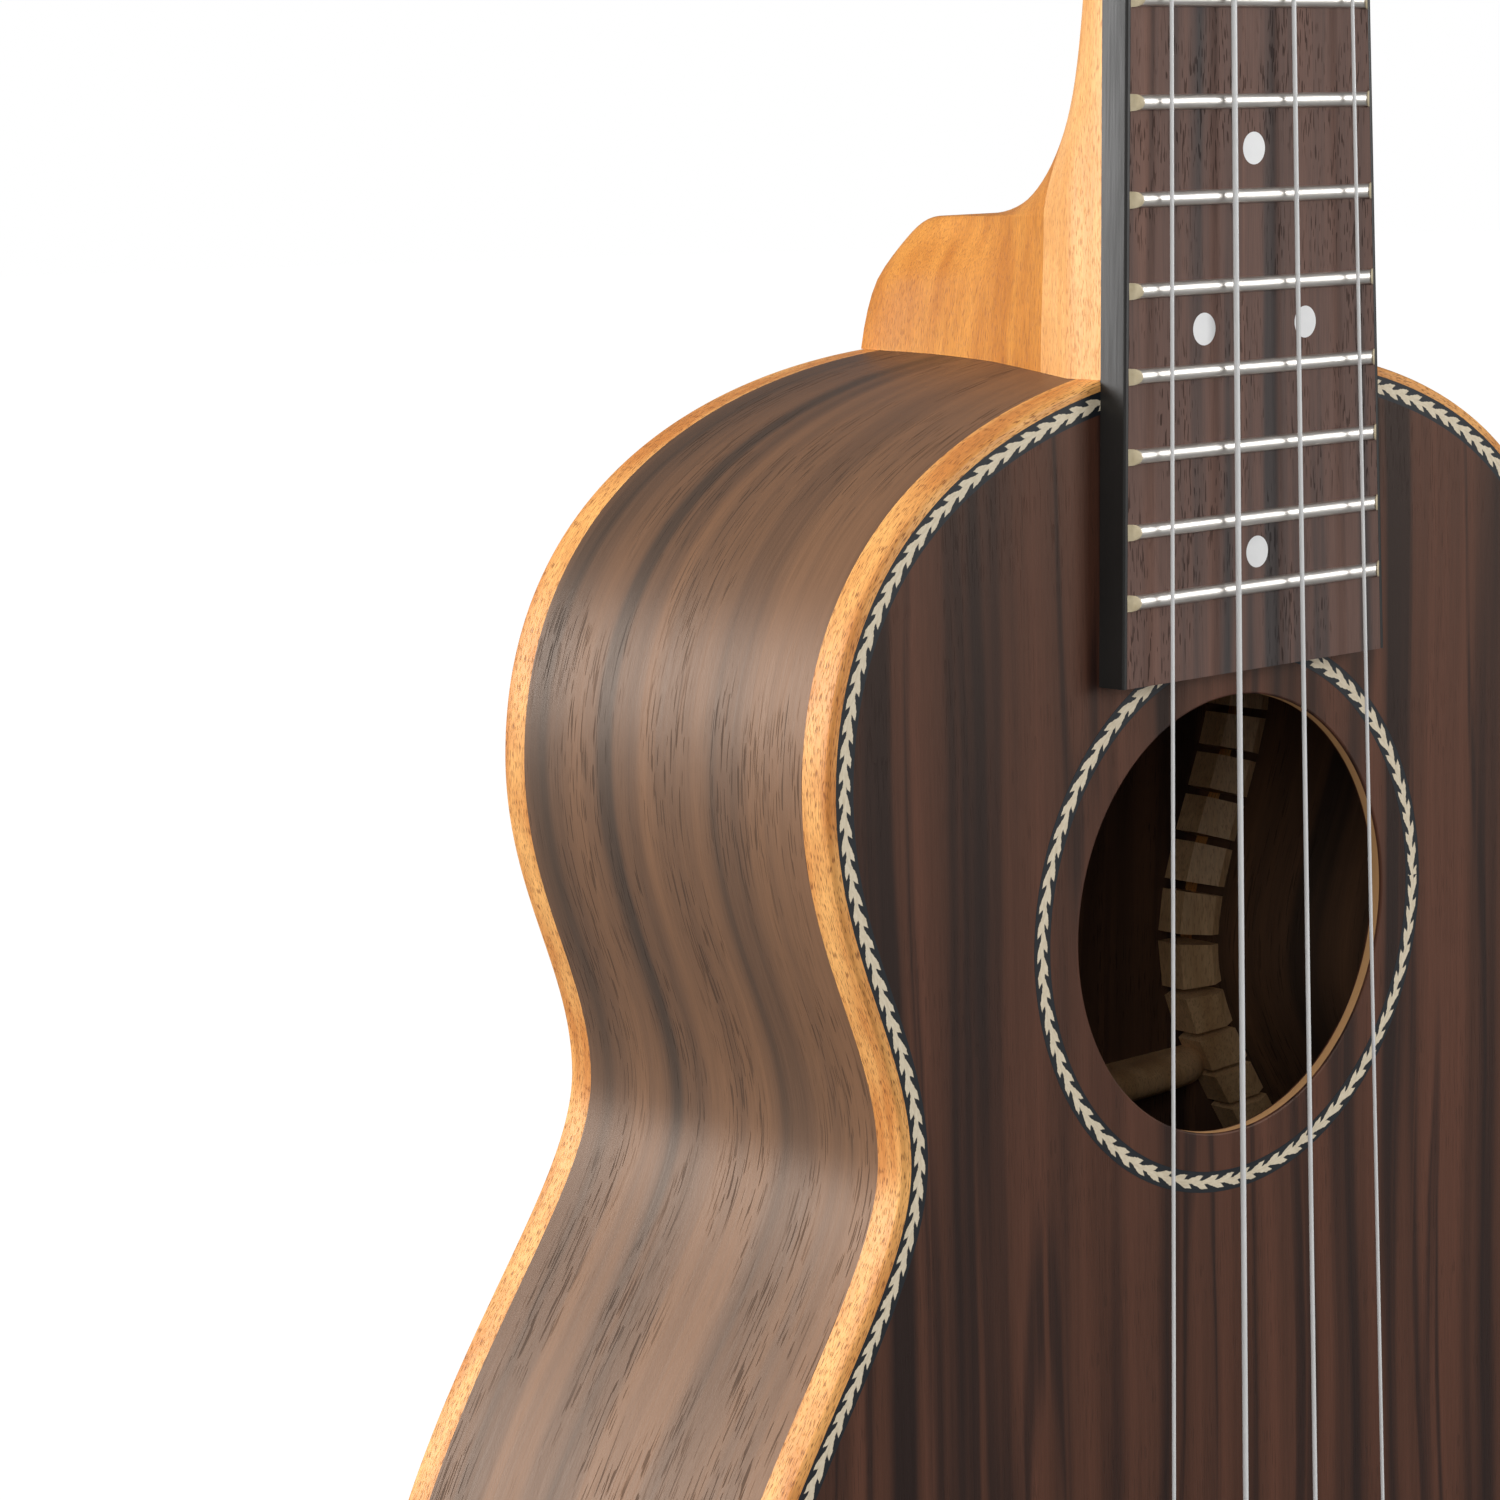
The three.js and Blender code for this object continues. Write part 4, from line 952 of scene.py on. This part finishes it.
def crown(steps, widen=1.0):
    """Half an oval a little fuller than an ellipse, foot to foot: offset along the string and height."""
    angle = np.linspace(0, math.pi, steps)
    return FRET_WIDTH / 2 * widen * np.cos(angle), FRET_HEIGHT * widen * np.sin(angle) ** 0.8


ends = []
for number in range(1, FRET_COUNT + 1):
    z = fret_height(number)
    reach = float(board_half(z)) - FRET_SHORT
    along, height = crown(13)
    slope = reach - height / FRET_HEIGHT * FRET_BEVEL
    x = np.stack([-slope] + [slope * share for share in np.linspace(-0.98, 0.98, 9)] + [slope])
    wire = np.stack([x, -BOARD_THICKNESS - height + 0 * x, z + along + 0 * x], -1)
    finish_piece(grid_piece(f"fret_wire_{number:02d}", wire, sharp=50), fret_finish,
                 f"fret_{number:02d}")
    along, height = crown(13, 1.12)
    tip = -(reach + 0.1 - height / FRET_HEIGHT * FRET_BEVEL)
    rim = np.stack([tip, -BOARD_THICKNESS - height, z + along], -1)
    pad = np.stack([rim, rim + (LACQUER, 0, 0)])
    ends += [pad, pad * (-1, 1, 1)]
finish_piece(grid_piece("fret_end_lacquer", np.array(ends), sharp=60), lacquer_finish)

# Position dots: flat grey-white discs pressed into holes in the board behind frets 5, 7, 10, 12 and 15,
# a pair of them at the 12th, and levelled with the wood.
DOT_RADIUS = 2.2
DOT_PAIR = 10.2
DOT_BACK = -4.2
DOT_FRONT = -4.52

dot_finish, tree, shader, coords = new_material("dot_finish", coat=0.3)
cloudy = surface_marks(tree, coords, 500.0, 3.0)
tone(tree, shader, cloudy, (0.74, 0.74, 0.74), (0.84, 0.84, 0.83), 0.2, 0.25)
dots = []
for number, x in ((5, 0), (7, 0), (10, 0), (12, -DOT_PAIR), (12, DOT_PAIR), (15, 0)):
    z = (fret_height(number) + fret_height(number - 1)) / 2
    angle = np.linspace(0, 2 * math.pi, 40, endpoint=False)
    rim = np.stack([x + DOT_RADIUS * np.cos(angle), 0 * angle, z + DOT_RADIUS * np.sin(angle)], -1)
    dots.append(np.stack([rim + (0, DOT_BACK, 0), rim + (0, DOT_FRONT, 0)]))
finish_piece(grid_piece("position_dots", np.array(dots)), dot_finish)

# Nut and saddle: polished bone, the nut's back edge rounded down towards the headstock and cut with a
# slot for each string, the saddle standing in the bridge with a rounded crest.
BRIDGE_Z = -382
SADDLE_TOP = 7.35
SADDLE_HALF_LENGTH = 27
SADDLE_HALF_WIDTH = 1.2
NUT_TOP = 5.75
NUT_SHOULDER = 1.6

bone_finish, tree, shader, coords = new_material("bone_finish", coat=0.2)
parts = node(tree, "SeparateXYZ", {0: coords.outputs["Object"]}).outputs
up, across = (calc(tree, "MULTIPLY", part, 1000) for part in (parts[2], parts[0]))
grain = stretched_noise(tree, up, across, 0.3, 4, 3.0, 2.0)
tone(tree, shader, grain, (0.66, 0.58, 0.44), (0.86, 0.81, 0.70), 0.2, 0.22)
shader.inputs["Subsurface Weight"].default_value = 0.08
shader.inputs["Subsurface Scale"].default_value = 0.002

# Each string: its gauge, x at the nut and at the saddle, its side, and its post's height up the headstock.
STRINGS = {
    "g": (0.56, -15.2, -22.8, -1, 38), "c": (0.81, -5.0, -7.6, -1, 82),
    "e": (0.66, 5.0, 7.6, 1, 82), "a": (0.53, 15.2, 22.8, 1, 38),
}


def make_nut():
    """Rows across the neck, each a rounded-back side profile; the crest dips under each string."""
    x = np.linspace(-BOARD_HALF_AT_NUT, BOARD_HALF_AT_NUT, 165)[:, None]
    dip = np.zeros_like(x)
    for gauge, at, _, _, _ in STRINGS.values():
        dip = np.maximum(dip, 0.5 * np.exp(-(((x - at) / (gauge * 0.75)) ** 4)))
    angle = np.linspace(0, math.pi / 2, 7)
    round_z = NUT_SHOULDER + (NUT_LENGTH - NUT_SHOULDER) * np.sin(angle)
    y = np.hstack([0 * x, -NUT_TOP + dip, -NUT_TOP + dip + 2.2 * (1 - np.cos(angle)), 0 * x])
    z = np.r_[0, 0, round_z, NUT_LENGTH] + 0 * x
    return grid_piece("bone_nut", np.stack([x + 0 * y, y, z], -1))


def make_saddle():
    """A thin upright blade with a half-round crest, its two ends rounded in plan."""
    across = np.linspace(-1, 1, 61)[:, None]
    narrow = np.sqrt(np.clip(1.002 - np.abs(across) ** 60, 0.05, 1))
    angle = np.linspace(0, math.pi, 11)
    y = np.r_[-2.9, -SADDLE_TOP + 1.1 - 1.1 * np.sin(angle), -2.9] + 0 * across
    z = BRIDGE_Z + SADDLE_HALF_WIDTH * narrow * np.r_[1, np.cos(angle), -1]
    return grid_piece("bone_saddle", np.stack([SADDLE_HALF_LENGTH * across + 0 * y, y, z], -1))


finish_piece(make_nut(), bone_finish, "nut")
finish_piece(make_saddle(), bone_finish, "saddle")

# Bridge: rosewood, glued to the soundboard, with thin scooped wings, a ramp up to the saddle and a raised
# tie block behind it, bound on top with two pale strips where the strings bear.
BLOCK_HALF = 28.9
bridge_finish, tree, shader, coords = new_material("bridge_finish", specular=0.45)
parts = node(tree, "SeparateXYZ", {0: coords.outputs["Object"]}).outputs
place = node(tree, "CombineXYZ", {0: parts[2], 1: parts[0], 2: 0.014}).outputs[0]
use_group(tree, shader, banded_wood, {
    "Place": place, "Band Width": 5.0, "Pale": (0.14, 0.072, 0.050, 1), "Middle": (0.095, 0.048, 0.036, 1),
    "Dark": (0.035, 0.026, 0.024, 1), "Lines": 0.3, "Pores": 0.8, "Pore Length": 2.5, "Gloss": 0.4,
}, 0.0001)


def make_bridge():
    """Rows across the bridge: in the middle the side profile of ramp, slot floor and tie block, towards the
    wings a low rounded bar, blended over two millimetres."""
    shoulder = np.linspace(28, 31, 9)
    x = np.unique(np.r_[np.linspace(-40, 40, 81), shoulder, -shoulder])[:, None]
    middle = np.array([
        (10, 0), (9.6, -2.6), (9, -3), (7, -4.2), (5, -5.1), (3.5, -5.4), (-3.2, -5.4), (-3.9, -4.6),
        (-4.6, -3.2), (-5.2, -3), (-6.9, -3), (-7, -3.4), (-7.1, -6.5), (-7.6, -7), (-12.2, -7),
        (-12.8, -6.6), (-13, -6), (-13, 0),
    ])
    wing = np.array([
        (7, 0), (6.9, -1.6), (6.3, -2.5), (5.2, -2.9), (4, -3), (3, -3), (-2, -3), (-2.3, -3),
        (-2.6, -3), (-2.9, -3), (-3.2, -3), (-3.5, -3), (-3.8, -3), (-4.2, -3), (-5.2, -2.9),
        (-6.3, -2.5), (-6.9, -1.6), (-7, 0),
    ])
    share = ease(np.abs(x), BLOCK_HALF, BLOCK_HALF + 1.2)
    foot = np.clip((40.4 - np.abs(x)) / 3, 0, 1) ** 0.5
    z = BRIDGE_Z + middle[:, 0] * (1 - share) + wing[:, 0] * share * (0.45 + 0.55 * foot)
    y = middle[:, 1] * (1 - share) + wing[:, 1] * share * (0.35 + 0.65 * foot)
    return grid_piece("carved_bridge", np.stack([x + 0 * z, y, z], -1))


finish_piece(make_bridge(), bridge_finish, "bridge")
trims = []
for z in (-7.9, -12.1):
    angle = np.linspace(0, math.pi, 7)
    section = np.stack([-7 - 0.12 * np.sin(angle), BRIDGE_Z + z + 0.75 * np.cos(angle)], -1)
    section = np.vstack([section, (-6.6, BRIDGE_Z + z - 0.75), (-6.6, BRIDGE_Z + z + 0.75)])
    ends = [np.column_stack([np.full(9, x), section]) for x in np.linspace(-28.6, 28.6, 9)]
    trims.append(np.array(ends))
finish_piece(grid_piece("tie_block_trim", np.array(trims)), bone_finish)

# Strings: clear round fluorocarbon monofilament, wound on each post, over the nut and the saddle, through
# the tie block, back over it and tucked under itself.
POST_X = 16
STRING_LEAVES = 2.75
COIL_START = -7
TIE_HOLE = -4.6

string_finish, tree, shader, coords = new_material("string_finish")
cloudy = surface_marks(tree, coords, 1.0, 2.0, (900, 900, 60))
tone(tree, shader, cloudy, (0.80, 0.80, 0.79), (0.92, 0.92, 0.91), 0.12, 0.14)
shader.inputs["Transmission Weight"].default_value = 0.12
shader.inputs["IOR"].default_value = 1.42


def tube(path, radius, sides, upright):
    """Rings round a path of points: each lies square to the path, turned by an upright direction that the
    path never follows."""
    path = np.asarray(path, float)
    along = np.gradient(path, axis=0)
    along /= np.linalg.norm(along, axis=1)[:, None]
    sideways = np.cross(along, np.asarray(upright, float))
    sideways /= np.linalg.norm(sideways, axis=1)[:, None]
    over = np.cross(sideways, along)
    angle = np.linspace(0, 2 * math.pi, sides, endpoint=False)[None, :, None]
    return path[:, None] + radius * (np.cos(angle) * sideways[:, None] + np.sin(angle) * over[:, None])


def rounded_route(points, turn, steps=5):
    """A path through corner points, each corner replaced by a short quadratic curve that starts and ends
    that far from it."""
    points = np.asarray(points, float)
    to_last = points[:-2] - points[1:-1]
    to_next = points[2:] - points[1:-1]
    to_last *= np.minimum(turn / np.linalg.norm(to_last, axis=1), 0.45)[:, None]
    to_next *= np.minimum(turn / np.linalg.norm(to_next, axis=1), 0.45)[:, None]
    t = np.linspace(0, 1, steps)[None, :, None]
    bends = points[1:-1, None] + (1 - t) ** 2 * to_last[:, None] + t**2 * to_next[:, None]
    return np.vstack([points[:1], bends.reshape(-1, 3), points[-1:]])


for name, (gauge, nut_x, saddle_x, side, station) in STRINGS.items():
    at_post = from_head([side * (POST_X - STRING_LEAVES - gauge / 2), COIL_START, station])
    route = rounded_route([
        at_post, (nut_x, -5.8, 3.6), (nut_x, -5.8, 0), (saddle_x, -7.8, BRIDGE_Z - 0.4),
        (saddle_x, TIE_HOLE, BRIDGE_Z - 6.2), (saddle_x, TIE_HOLE, BRIDGE_Z - 14),
    ], 0.8)
    finish_piece(grid_piece(f"line_{name}", tube(route, gauge / 2, 14, (1, 0, 0))), string_finish,
                 f"string_{name}")
    lift = gauge / 2
    knot = rounded_route([
        (saddle_x, TIE_HOLE, BRIDGE_Z - 13.6), (saddle_x + 0.1, TIE_HOLE - 0.4, BRIDGE_Z - 14.2),
        (saddle_x + 0.6, -7.1 - lift, BRIDGE_Z - 13.2), (saddle_x + 1.0, -7.25 - lift, BRIDGE_Z - 7.2),
        (saddle_x + 0.9, -6.2, BRIDGE_Z - 5.6), (saddle_x - 1.0, -6.0, BRIDGE_Z - 5.4),
        (saddle_x - 1.2, -7.25 - lift, BRIDGE_Z - 7.2), (saddle_x - 1.6, -7.2 - lift, BRIDGE_Z - 11),
        (saddle_x + 1.6, -7.6 - lift, BRIDGE_Z - 12.6),
    ], 0.9)
    finish_piece(grid_piece(f"tie_{name}", tube(knot, gauge / 2, 10, (0.3, 0.15, 0.9))), string_finish)

# Tuners: open geared machines, nickel plated, with pearly buttons. A worm on each button's shaft turns a
# wheel of 14 teeth on the string post; the plate is screwed to the back, a ferrule pressed in the front.
WORM_UP = 7.05
WORM_DEPTH = 16.0
GEAR_TEETH = 14
GEAR_ROOT = 3.4
GEAR_PITCH = 3.9
COIL_TURNS = 3.5
COIL_CORE = 2.55
THREAD_HALF = 3.6
BUTTON_REACH = 26.5
BUTTON_HALF_LENGTH = 6.4
BUTTON_HALF_DEPTH = 3.1
BUTTON_HALF_HEIGHT = 8.3

nickel_finish, tree, shader, coords = new_material("nickel_finish", metallic=1.0)
worn = surface_marks(tree, coords, 220.0, 5.0)
tone(tree, shader, worn, (0.58, 0.57, 0.55), (0.80, 0.79, 0.77), 0.22, 0.12)
add_relief(tree, shader, worn, 0.00003, 0.3)
pearl_finish, tree, shader, coords = new_material("pearl_finish", coat=0.6)
drift = surface_marks(tree, coords, 130.0, 2.0, swirl=1.6)
pearl = blend_colour(tree, rise(tree, drift, 0.35, 0.65), (0.60, 0.58, 0.53, 1), (0.85, 0.84, 0.80, 1))
tree.links.new(pearl, shader.inputs["Base Color"])
tree.links.new(calc(tree, "MULTIPLY_ADD", drift, 0.2, 0.18), shader.inputs["Roughness"])


def around_shaft(side, station, along, behind, above):
    """Points about a button's shaft: a distance along X from its post, and distances behind and above the
    shaft's middle line."""
    x = side * POST_X + along + 0 * behind
    return from_head(np.stack([x, WORM_DEPTH + behind, station + WORM_UP + above], -1))


def turned(profile, centre, steps=32):
    """Rings about the headstock's depth axis, one for each (radius, depth) point of a profile."""
    radius, depth = np.array(profile, float).T[..., None]
    angle = np.linspace(0, 2 * math.pi, steps, endpoint=False)
    x, z = radius * np.cos(angle), radius * np.sin(angle)
    return from_head(np.stack([centre[0] + x, depth + 0 * x, centre[1] + z], -1))


for name, (gauge, _, _, side, station) in STRINGS.items():
    centre = (side * POST_X, station)
    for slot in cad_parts[f"tuner_plate_{name}"].material_slots:
        slot.material = nickel_finish
    ferrule = turned([
        (3.15, -1.4), (4.6, -1.4), (4.7, -1.7), (4.4, -2.1), (3.9, -2.3), (3.15, -2.4),
    ], centre)
    finish_piece(grid_piece(f"ferrule_{name}", np.moveaxis(ferrule, 0, 1), loop_rows=True), nickel_finish)
    post = turned([
        (0.3, -12.5), (2.3, -12.5), (2.8, -12.2), (3, -11.6), (2.9, -10.8), (2.5, -9.6), (2.4, -8),
        (2.5, -6.4), (2.9, -5.3), (3, -4.6), (3, 14.1), (2.5, 14.2), (2.5, 17.9), (3.2, 18), (3.3, 18.6),
        (2.9, 19.3), (0.3, 19.4),
    ], centre, 40)
    finish_piece(grid_piece(f"post_{name}", post), nickel_finish, f"tuner_post_{name}",
                 body=f"post_{name}")
    tooth = np.array([(0, 0), (0.28, 0), (0.42, 0.9), (0.83, 0.9)])
    around = 2 * math.pi * (np.arange(GEAR_TEETH)[:, None] + tooth[:, 0]).ravel() / GEAR_TEETH
    levels = np.array([(14.25, 0.35), (14.5, 0), (17.5, 0), (17.75, 0.35)])
    radius = GEAR_ROOT + np.tile(tooth[:, 1], GEAR_TEETH) - levels[:, 1:]
    x, z = centre[0] + radius * np.cos(around), centre[1] + radius * np.sin(around)
    wheel = from_head(np.stack([x, levels[:, :1] + 0 * x, z], -1))
    finish_piece(grid_piece(f"wheel_{name}", wheel, sharp=25), nickel_finish,
                 body=f"post_{name}")
    sweep = np.linspace(0, 2 * math.pi * COIL_TURNS, 100)
    coil_radius = COIL_CORE + gauge / 2
    coil = np.stack([
        centre[0] - side * coil_radius * np.cos(sweep), COIL_START - sweep / (2 * math.pi) * gauge * 1.05,
        centre[1] + coil_radius * np.sin(sweep),
    ], -1)
    winding = from_head(tube(coil, gauge / 2, 8, (0, 1, 0)))
    finish_piece(grid_piece(f"winding_{name}", winding), string_finish, body=f"post_{name}")

    angle = np.linspace(0, 2 * math.pi, 20, endpoint=False)
    thread = np.linspace(-THREAD_HALF, THREAD_HALF, 97)[:, None]
    pitch = 2 * math.pi * GEAR_PITCH / GEAR_TEETH
    wave = 0.5 + 0.5 * np.cos(2 * math.pi * thread / pitch - angle)
    radius = 1.75 + 0.6 * wave * np.clip((THREAD_HALF - np.abs(thread)) / 0.4, 0, 1)
    worm = around_shaft(side, station, thread, radius * np.sin(angle), radius * np.cos(angle))
    finish_piece(grid_piece(f"worm_{name}", worm, sharp=60), nickel_finish,
                 body=f"button_{name}")
    out, radius = np.array([
        (-7.2, 0.3), (-7.2, 1.9), (-6.4, 2.1), (-6.35, 1.6), (10.4, 1.6), (10.45, 2.6), (11.6, 2.6),
        (11.8, 1.6), (18.2, 1.6), (19, 2.0), (20.6, 2.6), (22, 2.6),
    ]).T[..., None]
    rod = around_shaft(side, station, side * out, radius * np.sin(angle), radius * np.cos(angle))
    finish_piece(grid_piece(f"shaft_{name}", rod), nickel_finish, body=f"button_{name}")
    angle = np.linspace(0, 2 * math.pi, 48, endpoint=False)
    lean = np.linspace(-math.pi / 2 + 0.05, math.pi / 2 - 0.05, 33)[:, None]
    swell = np.cos(lean) ** 0.75
    round_y, round_z = (np.sign(turn) * np.abs(turn) ** 0.8 for turn in (np.sin(angle), np.cos(angle)))
    button = around_shaft(side, station, side * (BUTTON_REACH + BUTTON_HALF_LENGTH * np.sin(lean)),
                          BUTTON_HALF_DEPTH * swell**0.7 * round_y, BUTTON_HALF_HEIGHT * swell * round_z)
    finish_piece(grid_piece(f"button_{name}", button), pearl_finish, f"tuner_button_{name}",
                 body=f"button_{name}")
    screw = [(0.2, 13.3), (1.7, 13.3), (1.75, 13.6), (1.4, 14.1), (0.8, 14.4), (0.2, 14.5)]
    places = [(centre[0] + side * out, station + up) for up in (-7.4, 10.4) for out in (-6.6, 9.6)]
    screws = np.array([turned(screw, place, 16) for place in places])
    finish_piece(grid_piece(f"screws_{name}", screws), nickel_finish)
